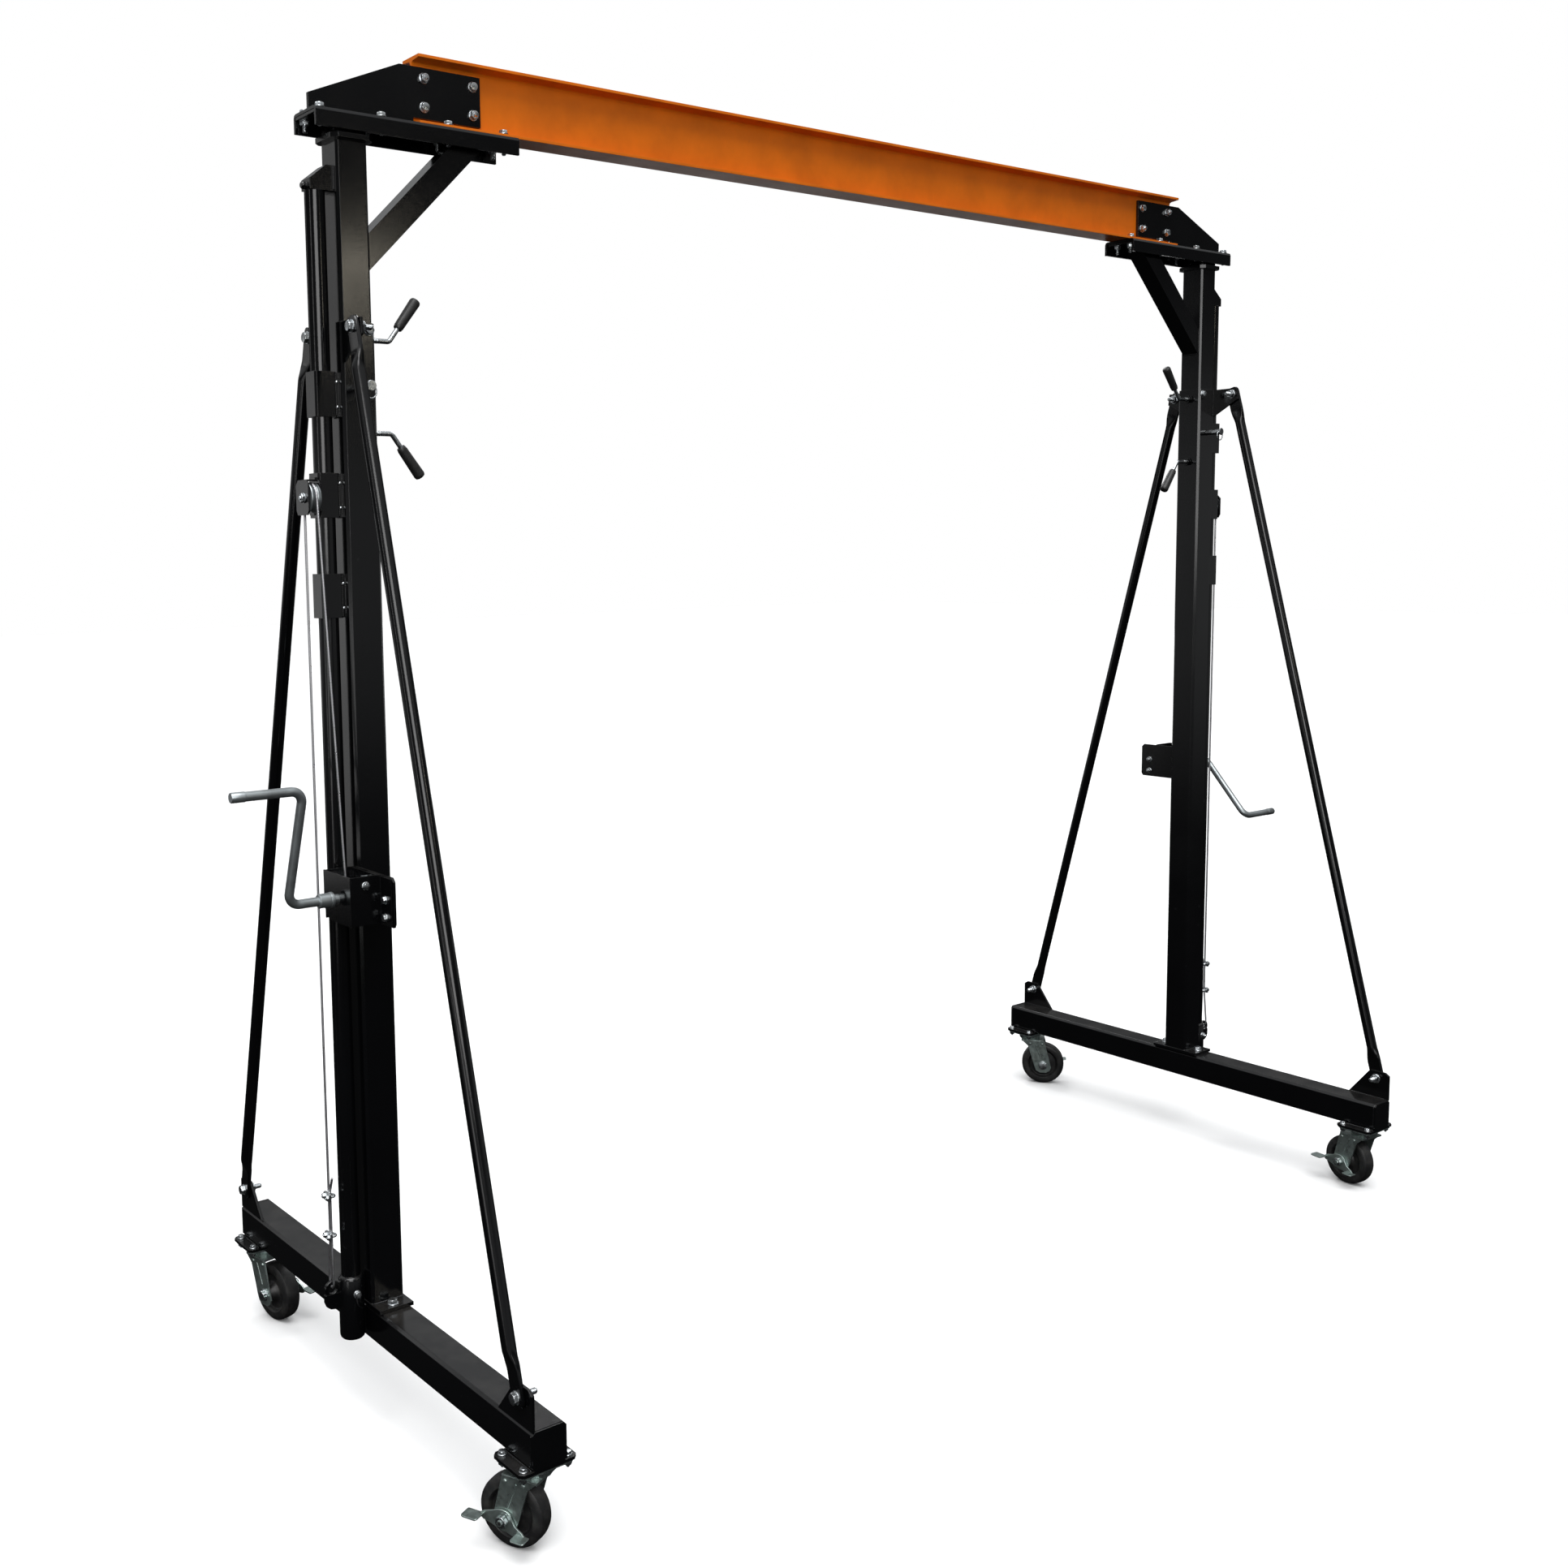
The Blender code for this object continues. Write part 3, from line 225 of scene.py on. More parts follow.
def drawn_steel(name, base, roughness):
    """Dull plated bar with fine lines along it and darker handled patches."""
    made = Surface(name, roughness, 0.0006, 0.85)
    lines = made.noise(1.0, 4.0, 0.6, made.stretched((90.0, 700.0, 700.0)))
    patches = made.noise(16.0, 5.0)
    dark = tuple(0.62 * c for c in base)
    made.color(made.mix(made.ramp(patches, [(0.42, 0.0), (0.7, 1.0)]), base, dark))
    made.rough(made.ramp(lines, [(0.3, roughness - 0.07), (0.7, roughness + 0.12)]))
    made.bump(lines, 0.12, 0.0001)
    return made.material


def moulded(name, base, dusty, roughness, grain):
    """Moulded rubber: fine grain, scuffed lighter in patches."""
    made = Surface(name, roughness, 0.0010)
    scuffs = made.ramp(made.noise(38.0, 7.0, 0.65), [(0.45, 0.0), (0.72, 0.6)])
    made.color(made.mix(scuffs, base, dusty))
    spread = [(0.3, roughness - 0.06), (0.7, roughness + 0.1)]
    made.rough(made.ramp(made.noise(22.0, 4.0), spread))
    made.bump(made.noise(grain, 3.0), 0.3, 0.00025)
    return made.material


BLACK_PAINT = powder_coat("black_powder_coat", (0.0022, 0.0023, 0.0027), (0.012, 0.012, 0.013),
                          620.0, 0.10, 0.50)
ORANGE_PAINT = powder_coat("orange_beam_paint", (0.76, 0.170, 0.005), (0.52, 0.105, 0.005),
                           420.0, 0.36, 0.25)
ZINC = plated("bright_zinc", (0.60, 0.63, 0.65), 0.24, 260.0)
FORK_ZINC = plated("pressed_zinc_sheet", (0.40, 0.47, 0.45), 0.32, 110.0, 0.9)
STEEL = drawn_steel("dull_steel_bar", (0.36, 0.39, 0.40), 0.34)
ROPE = plated("galvanised_wire", (0.58, 0.58, 0.60), 0.34, 500.0)
RUBBER = moulded("grip_rubber", (0.012, 0.012, 0.012), (0.035, 0.034, 0.033), 0.42, 900.0)
TYRE = moulded("wheel_rubber", (0.010, 0.010, 0.0105), (0.05, 0.048, 0.045), 0.44, 520.0)


# ---- mesh tools ---------------------------------------------------------------------------
def piece(name, bm, look, body, smooth=35, stands_for=()):
    """Turn a bmesh in world coordinates into a piece that rides on a body."""
    bmesh.ops.recalc_face_normals(bm, faces=bm.faces)
    mesh = bpy.data.meshes.new(name)
    bm.to_mesh(mesh)
    bm.free()
    mesh.materials.append(look)
    mesh.shade_smooth()
    mesh.set_sharp_from_angle(angle=math.radians(smooth))
    thing = bpy.data.objects.new(name, mesh)
    bpy.context.scene.collection.objects.link(thing)
    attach(thing, body)
    if stands_for:
        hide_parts(*stands_for)
    return thing


def cross_axes(axis):
    helper = Vector((0, 0, 1)) if abs(axis.z) < 0.9 else Vector((1, 0, 0))
    across = axis.cross(helper).normalized()
    return across, axis.cross(across).normalized()


def skin(bm, rings, closed=False):
    """Join rings of vertices; cap the ends unless the rings close on themselves."""
    count = len(rings[0])
    pairs = list(zip(rings, rings[1:]))
    if closed:
        pairs.append((rings[-1], rings[0]))
    for one, two in pairs:
        for i in range(count):
            j = (i + 1) % count
            bm.faces.new((one[i], one[j], two[j], two[i]))
    if not closed:
        bm.faces.new(rings[0])
        bm.faces.new(rings[-1])


def turned(bm, origin, axis, profile, sides=32, closed=False, turn=0.0):
    """A turned solid from (along, radius) pairs; closed makes a bored ring of a closed loop."""
    axis = Vector(axis).normalized()
    across, up = cross_axes(axis)
    rings = []
    for along, radius in profile:
        ring = []
        for k in range(sides):
            angle = turn + 2 * math.pi * k / sides
            spoke = across * math.cos(angle) + up * math.sin(angle)
            ring.append(bm.verts.new(Vector(origin) + axis * along + spoke * radius))
        rings.append(ring)
    skin(bm, rings, closed)


def hexagon(bm, origin, axis, radius, height, turn=0.0, thread=None):
    """Hexagon head or nut with chamfered corners, then an optional (radius, length) thread."""
    face = radius * 0.90
    turned(bm, origin, axis, [(0.0, radius), (height * 0.80, radius), (height, face)], 6,
           turn=turn)
    turned(bm, origin, axis, [(height * 0.5, face * 0.93), (height + 0.0004, face * 0.93),
                              (height + 0.0007, face * 0.80)], 24)
    if thread:
        screw(bm, Vector(origin) + Vector(axis).normalized() * height * 0.5, axis, thread[0],
              thread[1] + height * 0.5)


def screw(bm, origin, axis, radius, length, pitch=0.0015):
    """A threaded end: a lathe of ridges with a chamfered tip."""
    profile = [(0.0, radius * 0.86)]
    ridges = max(2, int((length - pitch) / pitch))
    for k in range(ridges):
        profile += [(k * pitch + pitch * 0.5, radius), (k * pitch + pitch, radius * 0.86)]
    profile.append((length, radius * 0.72))
    turned(bm, origin, axis, profile, 16)


def washer(bm, origin, axis, radius, thickness=0.0018):
    turned(bm, origin, axis, [(0.0, radius), (thickness * 0.7, radius),
                              (thickness, radius - 0.0005)], 28)


def through_bolt(bm, head_at, nut_at, axis, size, spare=0.006, turn=0.3):
    """Bolt head and nut on two faces, each on a washer; axis points out of the head."""
    axis = Vector(axis).normalized()
    radius, head, nut = size * 0.98, size * 0.64, size * 0.80
    washer(bm, head_at, axis, size * 1.10)
    hexagon(bm, head_at + axis * 0.0017, axis, radius, head, turn)
    washer(bm, nut_at, -axis, size * 1.10)
    hexagon(bm, nut_at - axis * 0.0017, -axis, radius, nut, turn + 0.4, (size * 0.5, spare))


def path_points(points, radius, steps=10):
    """A polyline whose inner corners are arcs of the given radius."""
    points = [Vector(p) for p in points]
    path = [points[0]]
    for before, corner, after in zip(points, points[1:], points[2:]):
        back = (before - corner).normalized()
        ahead = (after - corner).normalized()
        half = back.angle(ahead) / 2
        cut = radius / math.tan(half)
        centre = corner + (back + ahead).normalized() * radius / math.sin(half)
        one, two = corner + back * cut - centre, corner + ahead * cut - centre
        axis = one.cross(two).normalized()
        path += [centre + Matrix.Rotation(one.angle(two) * k / steps, 3, axis) @ one
                 for k in range(steps + 1)]
    return path + [points[-1]]


def resampled(points, step):
    """The same path with points a step apart."""
    points = [Vector(p) for p in points]
    lengths = [(b - a).length for a, b in zip(points, points[1:])]
    total = sum(lengths)
    count = max(1, round(total / step))
    result, segment, passed = [], 0, 0.0
    for k in range(count + 1):
        target = total * k / count
        while segment < len(lengths) - 1 and passed + lengths[segment] < target:
            passed += lengths[segment]
            segment += 1
        share = (target - passed) / lengths[segment]
        result.append(points[segment].lerp(points[segment + 1], min(share, 1.0)))
    return result


def sweep(bm, points, sides, section, twist=0.0, closed=False):
    """Sweep a round section along a path: section(distance, angle) is the radius."""
    count = len(points)
    across = None
    rings, distance = [], 0.0
    for i, point in enumerate(points):
        if closed:
            tangent = (points[(i + 1) % count] - points[i - 1]).normalized()
        else:
            tangent = (points[min(i + 1, count - 1)] - points[max(i - 1, 0)]).normalized()
        if across is None:
            across, _ = cross_axes(tangent)
        across = (across - tangent * across.dot(tangent)).normalized()
        up = tangent.cross(across)
        if i:
            distance += (point - points[i - 1]).length
        ring = []
        for k in range(sides):
            angle = 2 * math.pi * k / sides
            turn = angle + twist * distance
            ring.append(bm.verts.new(point + (across * math.cos(turn) + up * math.sin(turn))
                                     * section(distance, angle)))
        rings.append(ring)
    skin(bm, rings, closed)


def round_bar(bm, points, radius, sides=20, closed=False):
    sweep(bm, points, sides, lambda distance, angle: radius, closed=closed)


ROPE_RADIUS = 0.0027
ROPE_LAY = 0.034


def rope(bm, points, step=0.0036):
    """Wire rope of six strands laid round each other."""
    sweep(bm, resampled(points, step), 24,
          lambda distance, angle: ROPE_RADIUS * (0.80 + 0.20 * abs(math.cos(3 * angle))),
          twist=2 * math.pi / ROPE_LAY)


def weld_bead(bm, start, end, radius=0.0024):
    """A rippled fillet weld along an inside corner."""
    start, end = Vector(start), Vector(end)
    ripple = 0.0042
    points = resampled([start, end], ripple / 4)
    sweep(bm, points, 8, lambda distance, angle: radius * (
        1.0 + 0.16 * math.cos(2 * math.pi * distance / ripple)
        + 0.10 * math.sin(41.0 * distance + 2.0)))


def plate(bm, outline, place, low, high, rim=0.0):
    """Extrude a flat outline of (a, b) points between two heights of place(a, b, c)."""
    rings = []
    middle = Vector((sum(a for a, _ in outline), sum(b for _, b in outline))) / len(outline)
    levels = [(low, 0.0), (high, 0.0)]
    if rim:
        levels = [(low, rim), (low + rim, 0.0), (high - rim, 0.0), (high, rim)]
    for level, inset in levels:
        ring = []
        for a, b in outline:
            inward = middle - Vector((a, b))
            spot = Vector((a, b)) + inward.normalized() * inset
            ring.append(bm.verts.new(place(spot.x, spot.y, level)))
        rings.append(ring)
    skin(bm, rings)


def rounded(width, depth, radius, steps=5):
    """A rectangle's outline with round corners, from its half sizes."""
    outline = []
    for quarter, (sx, sy) in enumerate(((1, 1), (-1, 1), (-1, -1), (1, -1))):
        for k in range(steps + 1):
            angle = math.pi / 2 * (quarter + k / steps)
            outline.append((sx * (width - radius) + radius * math.cos(angle),
                            sy * (depth - radius) + radius * math.sin(angle)))
    return outline


# ---- CAD parts that keep their shape ------------------------------------------------------
def paint_cad_parts():
    """The nodes that a piece stands for are painted too, but never show."""
    looks = {"i_beam": ORANGE_PAINT, "caster_plate": FORK_ZINC, "caster_fork": FORK_ZINC}
    for name, thing in nodes.items():
        look = next((look for start, look in looks.items() if name.startswith(start)),
                    BLACK_PAINT)
        thing.data.materials.clear()
        thing.data.materials.append(look)


# ---- bolts --------------------------------------------------------------------------------
COLUMN_HALF = 0.0381         # half the outer column's width
INNER_EDGE = 0.0346          # 0.1 mm outside the inner column's faces
BASE_TOP = 0.2661            # 0.1 mm under the base beam's top
PAD_TOP = 0.1908             # top of the pads that the casters are bolted to
BASE_HALF_LENGTH = 0.6645
CASTER_Y = 0.6125
GUIDE_TOPS = (2.236, 2.034, 1.831)
BRACE_FOOT, BRACE_HEAD = (0.625, 0.322), (0.100, 2.317)
TUBE_OUT = 0.0681            # axis of the lift tube
TUBE_LOW, TUBE_TOP = 0.3382, 2.5915
TUBE_RADIUS, TUBE_BORE, CUP_RADIUS = 0.0205, 0.0175, 0.0270
CABLE_OUT = 0.113            # plane of the pulley and the lifting strand
EYE_Z, EYE_RADIUS = 0.318, 0.0095
BEAM_FOOT = beam_low.z
CHANNEL_TOP = BEAM_FOOT - 0.0003
PLATES_LOW = BEAM_FOOT - 0.0126      # underside of the head and knee plates
PLATE_FACE = -0.01105                # front face of both web plates
WEB_BACK = 0.00275
WEB_BOLTS = ((-0.181, 2.785, False), (-0.181, 2.843, True),
             (-0.298, 2.785, True), (-0.298, 2.843, False))
M12, M10, M8 = 0.012, 0.010, 0.008


def head_bolts(side):
    at = outward(side)
    front = Vector((0, -1, 0))
    bm = bmesh.new()
    for out, z, nut_in_front in WEB_BOLTS:
        x = at(out, 0, 0).x
        near, far = Vector((x, PLATE_FACE, z)), Vector((x, WEB_BACK, z))
        if nut_in_front:
            through_bolt(bm, far, near, -front, M10, turn=out * 20 + z)
        else:
            through_bolt(bm, near, far, front, M10, turn=out * 20 + z)
    piece("web_bolts_" + side, bm, ZINC, "upper")
    bm = bmesh.new()
    up = Vector((0, 0, 1))
    for out in (-0.068, 0.068):
        for y in (-0.034, 0.034):
            through_bolt(bm, at(out, y, CHANNEL_TOP), at(out, y, PLATES_LOW), up, M10, 0.014,
                         turn=out + 9 * y)
    for out in (-0.230, -0.365):
        for y in (-0.023, 0.023):
            through_bolt(bm, at(out, y, BEAM_FOOT + 0.0071), at(out, y, PLATES_LOW), up, M10,
                         0.014, turn=out + 15 * y)
    piece("head_bolts_" + side, bm, ZINC, "upper")
    # the cross bolt of the lift tube's bottom cup
    along = direction(side, 0, -1, 0)
    bm = bmesh.new()
    through_bolt(bm, at(TUBE_OUT, -0.0268, 0.303), at(TUBE_OUT, 0.0268, 0.303), along, M8)
    piece("cup_bolt_" + side, bm, ZINC, "upper")


def frame_bolts(side):
    at = outward(side)
    body = "frame_" + side
    out_axis = direction(side, 1, 0, 0)
    up = Vector((0, 0, 1))
    bm = bmesh.new()
    for y in (-0.0575, 0.0575):
        spot = at(0, y, column_low.z + 0.008)
        washer(bm, spot, up, M12 * 1.05, 0.0022)
        hexagon(bm, spot + up * 0.0021, up, M12 * 0.92, M12 * 0.64, turn=0.5 + y)
    piece("foot_bolts_" + side, bm, ZINC, body)
    bm = bmesh.new()
    for (y, z), back in ((BRACE_FOOT, 0.0311), (BRACE_HEAD, 0.0303)):
        for sign in (-1, 1):
            through_bolt(bm, at(0.0464, sign * y, z), at(back, sign * y, z), out_axis, M12,
                         0.018, turn=y * 7 * sign)
    piece("brace_bolts_" + side, bm, ZINC, body)
    bm = bmesh.new()
    for y in (-CASTER_Y, CASTER_Y):
        for a in (-0.049, 0.049):
            for b in (-0.037, 0.037):
                through_bolt(bm, at(a, y + b, PAD_TOP), at(a, y + b, 0.1790), up, M8, 0.005,
                             turn=a * 40 + b * 70)
    piece("caster_bolts_" + side, bm, ZINC, body)
    bm = bmesh.new()
    for z in (1.142, 1.178):
        through_bolt(bm, at(0.0467, -0.170, z), at(0.0384, -0.170, z), out_axis, M8, 0.004,
                     turn=z * 9)
    # a bolt through the winch's near wall, and the small screws of the guides
    wall = direction(side, 0, -1, 0)
    spot = at(0.080, -0.1506, 1.208)
    washer(bm, spot, wall, M8 * 1.1)
    hexagon(bm, spot + wall * 0.0017, wall, M8 * 0.98, M8 * 0.64, 0.2)
    piece("winch_bolts_" + side, bm, ZINC, body)
    bm = bmesh.new()
    for top in GUIDE_TOPS:
        for drop in (0.020, 0.070):
            for face, sign in ((-0.0191, -1), (0.0191, 1)):
                spot = at(0.0420, face, top - drop)
                turned(bm, spot, direction(side, 0, sign, 0),
                       [(0.0, 0.0032), (0.0012, 0.0032), (0.0022, 0.0022), (0.0026, 0.0008)], 14)
    piece("guide_screws_" + side, bm, ZINC, body)
    bm = bmesh.new()
    front = Vector((0, -1, 0))
    spot = Vector((at(-0.024, 0, 0).x, -COLUMN_HALF, 2.320))
    washer(bm, spot, front, M10 * 1.1)
    hexagon(bm, spot + front * 0.0017, front, M10 * 0.98, M10 * 0.64, 0.1)
    piece("column_bolt_" + side, bm, ZINC, body)


# ---- welds --------------------------------------------------------------------------------
def frame_welds(side):
    at = outward(side)
    half = COLUMN_HALF
    bm = bmesh.new()
    foot = column_low.z + 0.008
    for sign in (-1, 1):
        weld_bead(bm, at(-half + 0.004, sign * half, foot), at(half - 0.004, sign * half, foot))
        weld_bead(bm, at(0.0303, sign * half, 2.256), at(0.0303, sign * half, 2.331), 0.0020)
        edge = sign * (BASE_HALF_LENGTH - 0.0050)
        weld_bead(bm, at(-0.031, edge, BASE_TOP), at(0.029, edge, BASE_TOP), 0.0016)
        for a in (-half, half):
            weld_bead(bm, at(a, edge, 0.198), at(a, edge, 0.259), 0.0016)
            weld_bead(bm, at(a, sign * 0.565, PAD_TOP), at(a, sign * 0.659, PAD_TOP), 0.0022)
        weld_bead(bm, at(0.0305, sign * 0.552, 0.2664), at(0.0305, sign * 0.652, 0.2664), 0.0022)
    for top in GUIDE_TOPS:
        for y in (-0.0192, 0.0192):
            weld_bead(bm, at(half, y, top - 0.080), at(half, y, top - 0.010), 0.0019)
            weld_bead(bm, at(0.0446, y, top - 0.086), at(0.0446, y, top - 0.004), 0.0017)
    piece("frame_welds_" + side, bm, BLACK_PAINT, "frame_" + side, smooth=80)


def upper_welds(side):
    at = outward(side)
    half = INNER_EDGE
    short = half - 0.004
    bm = bmesh.new()
    for sign in (-1, 1):
        for z in (2.6918, 2.7022, PLATES_LOW):
            weld_bead(bm, at(-short, sign * half, z), at(short, sign * half, z), 0.0020)
        weld_bead(bm, at(sign * half, -short, PLATES_LOW), at(sign * half, short, PLATES_LOW),
                  0.0020)
        # knee brace to its plate, and to the column along the two sloping cuts
        weld_bead(bm, at(-0.262, sign * 0.026, PLATES_LOW),
                  at(-0.320, sign * 0.026, PLATES_LOW), 0.0022)
        weld_bead(bm, at(-half, sign * 0.026, 2.446), at(-half, sign * 0.026, 2.508), 0.0022)
        weld_bead(bm, at(half + 0.0003, sign * 0.0197, 2.594),
                  at(half + 0.0003, sign * 0.0197, 2.639), 0.0018)
    weld_bead(bm, at(-half, -0.022, 2.4405), at(-half, 0.022, 2.4405), 0.0022)
    piece("upper_welds_" + side, bm, BLACK_PAINT, "upper", smooth=80)


# ---- braces and lift tube -----------------------------------------------------------------
BRACE_RADIUS = 0.014
BRACE_FLAT = 0.0045          # half thickness of the flattened ends
BRACE_OUT = 0.0419           # middle of the flattened ends
# which way along Y each brace leans
BRACE_SIGN = {"left": {"front": -1, "rear": 1}, "right": {"front": 1, "rear": -1}}


def pressed(angle, thick):
    """Sine for a round section, but a flat-sided one where the tube is pressed flat."""
    value = math.sin(angle)
    flat = max(-1.0, min(1.0, value * 2.2))
    share = (BRACE_RADIUS - thick) / (BRACE_RADIUS - BRACE_FLAT)
    return value + (flat - value) * max(0.0, min(1.0, share))


def brace(side, end):
    at = outward(side)
    sign = BRACE_SIGN[side][end]
    low, high = (Vector((sign * y, z)) for y, z in (BRACE_FOOT, BRACE_HEAD))
    run = (high - low).normalized()
    cross = Vector((-run.y, run.x))
    length = (high - low).length
    flat = BRACE_FLAT
    stations = [(-0.020, flat, 0.009), (-0.018, flat, 0.0145), (-0.013, flat, 0.018),
                (-0.006, flat, 0.0198), (0.045, flat, 0.020)]
    for k in range(1, 8):
        ease = 0.5 - 0.5 * math.cos(math.pi * k / 7)
        stations.append((0.045 + 0.045 * k / 7, flat + (BRACE_RADIUS - flat) * ease,
                         0.020 + (BRACE_RADIUS - 0.020) * ease))
    middle = length / 2
    stations += [(middle * 0.5, BRACE_RADIUS, BRACE_RADIUS), (middle, BRACE_RADIUS, BRACE_RADIUS)]
    stations += [(length - s, t, w) for s, t, w in reversed(stations[:-1])]
    bm = bmesh.new()
    rings = []
    for along, thick, width in stations:
        shift = BRACE_OUT + (thick - flat) * 0.35
        ring = []
        for k in range(32):
            angle = 2 * math.pi * (k + 0.5) / 32
            spot = low + run * along + cross * (width * math.cos(angle))
            ring.append(bm.verts.new(at(shift + thick * pressed(angle, thick), spot.x, spot.y)))
        rings.append(ring)
    skin(bm, rings)
    name = "brace_" + end + "_" + side
    piece(name + "_tube", bm, BLACK_PAINT, "frame_" + side, 40, [name])


def lift_tube(side):
    at = outward(side)
    centre = at(TUBE_OUT, 0, 0)
    up = Vector((0, 0, 1))
    bm = bmesh.new()
    turned(bm, centre, up, [(TUBE_LOW, TUBE_RADIUS), (TUBE_TOP, TUBE_RADIUS),
                            (TUBE_TOP, TUBE_BORE), (TUBE_LOW, TUBE_BORE)], 48, closed=True)
    turned(bm, centre, up, [(0.200, 0.0205), (0.2010, 0.0230), (0.2035, 0.0255),
                            (0.209, CUP_RADIUS), (0.332, CUP_RADIUS), (0.3365, 0.0250),
                            (0.3390, 0.0215)], 48)
    wedge = [(0.0349, 2.5907), (0.0349, 2.641), (0.050, 2.641), (0.087, 2.612), (0.087, 2.5907)]
    plate(bm, wedge, lambda a, b, c: at(a, c, b), -0.0195, 0.0195, 0.0008)
    turned(bm, at(0.0862, 0, 2.5995), direction(side, 1, 0, 0),
           [(0.0, 0.0075), (0.0075, 0.0075), (0.0088, 0.0070), (0.0110, 0.0052)], 32)
    # lug on the cup, rounded about the eye that takes the rope
    foot = [(0.0911, 0.2700), (0.118, 0.2745), (0.1265, 0.2810), (0.131, 0.2920),
            (0.131, 0.3080), (0.0911, 0.3080)]
    plate(bm, foot, lambda a, b, c: at(a, c, b), -0.0040, 0.0040, 0.0008)
    root = [(0.0911, 0.3000), (0.1010, 0.3000), (0.1010, 0.3300), (0.0911, 0.3310)]
    plate(bm, root, lambda a, b, c: at(a, c, b), -0.0038, 0.0038, 0.0006)
    turned(bm, at(CABLE_OUT, 0, EYE_Z), direction(side, 0, 1, 0),
           [(-0.0030, EYE_RADIUS), (-0.0039, 0.0105), (-0.0039, 0.0170), (-0.0030, 0.0180),
            (0.0030, 0.0180), (0.0039, 0.0170), (0.0039, 0.0105), (0.0030, EYE_RADIUS)],
           40, closed=True)
    name = "lift_tube_" + side
    piece(name + "_smooth", bm, BLACK_PAINT, "upper", 40, [name])


# ---- pulley, winch and ropes --------------------------------------------------------------
SHEAVE = (-0.029, 1.983, 0.029)         # y, z and the rope's radius on the pulley
DRUM = (-0.095, 1.178, 0.025)
WINCH_FACE = 0.1145
CRANK_BAR = 0.0095
CRANK_THROW = 0.240
CRANK_ELBOWS = (0.224, 0.205)           # out, at the shaft's end and at the handle's
CRANK_END = 0.355
STRAND_END = 0.5758                     # lower end of the lifting strand, above the clips
CRANK_ANGLE = {"left": math.radians(102), "right": math.radians(-46.4)}


def pulley(side):
    at = outward(side)
    y, z, rope_radius = SHEAVE
    groove, rim = rope_radius - 0.0030, rope_radius + 0.0015
    low, high = 0.1025, 0.1235
    middle = (low + high) / 2
    profile = [(0.0958, 0.0050), (0.0966, 0.006), (low, 0.006), (low, 0.010), (low + 0.001, 0.012),
               (low + 0.001, rim - 0.003), (low, rim - 0.002), (low, rim - 0.0006),
               (low + 0.0010, rim)]
    for k in range(9):
        angle = math.pi * k / 8
        profile.append((middle - (middle - low - 0.0030) * math.cos(angle),
                        rim - (rim - groove) * math.sin(angle)))
    profile += [(high - 0.0010, rim), (high, rim - 0.0006), (high, rim - 0.002),
                (high - 0.001, rim - 0.003), (high - 0.001, 0.012), (high, 0.010), (high, 0.006),
                (0.1297, 0.006), (0.1305, 0.0050)]
    bm = bmesh.new()
    turned(bm, at(0, y, z), direction(side, 1, 0, 0), profile, 48)
    name = "pulley_wheel_" + side
    piece(name + "_turned", bm, STEEL, "pulley_" + side, 40, [name])
    # washer and nut on the axle, outside the outer cheek
    bm = bmesh.new()
    turned(bm, at(0.1276, y, z), direction(side, 1, 0, 0),
           [(0.0, 0.0062), (0.0, 0.0105), (0.0016, 0.0105), (0.0016, 0.0062)], 28, closed=True)
    hexagon(bm, at(0.1294, y, z), direction(side, 1, 0, 0), 0.0098, 0.0050, 0.3, (0.0055, 0.003))
    piece("pulley_nut_" + side, bm, ZINC, "pulley_" + side)


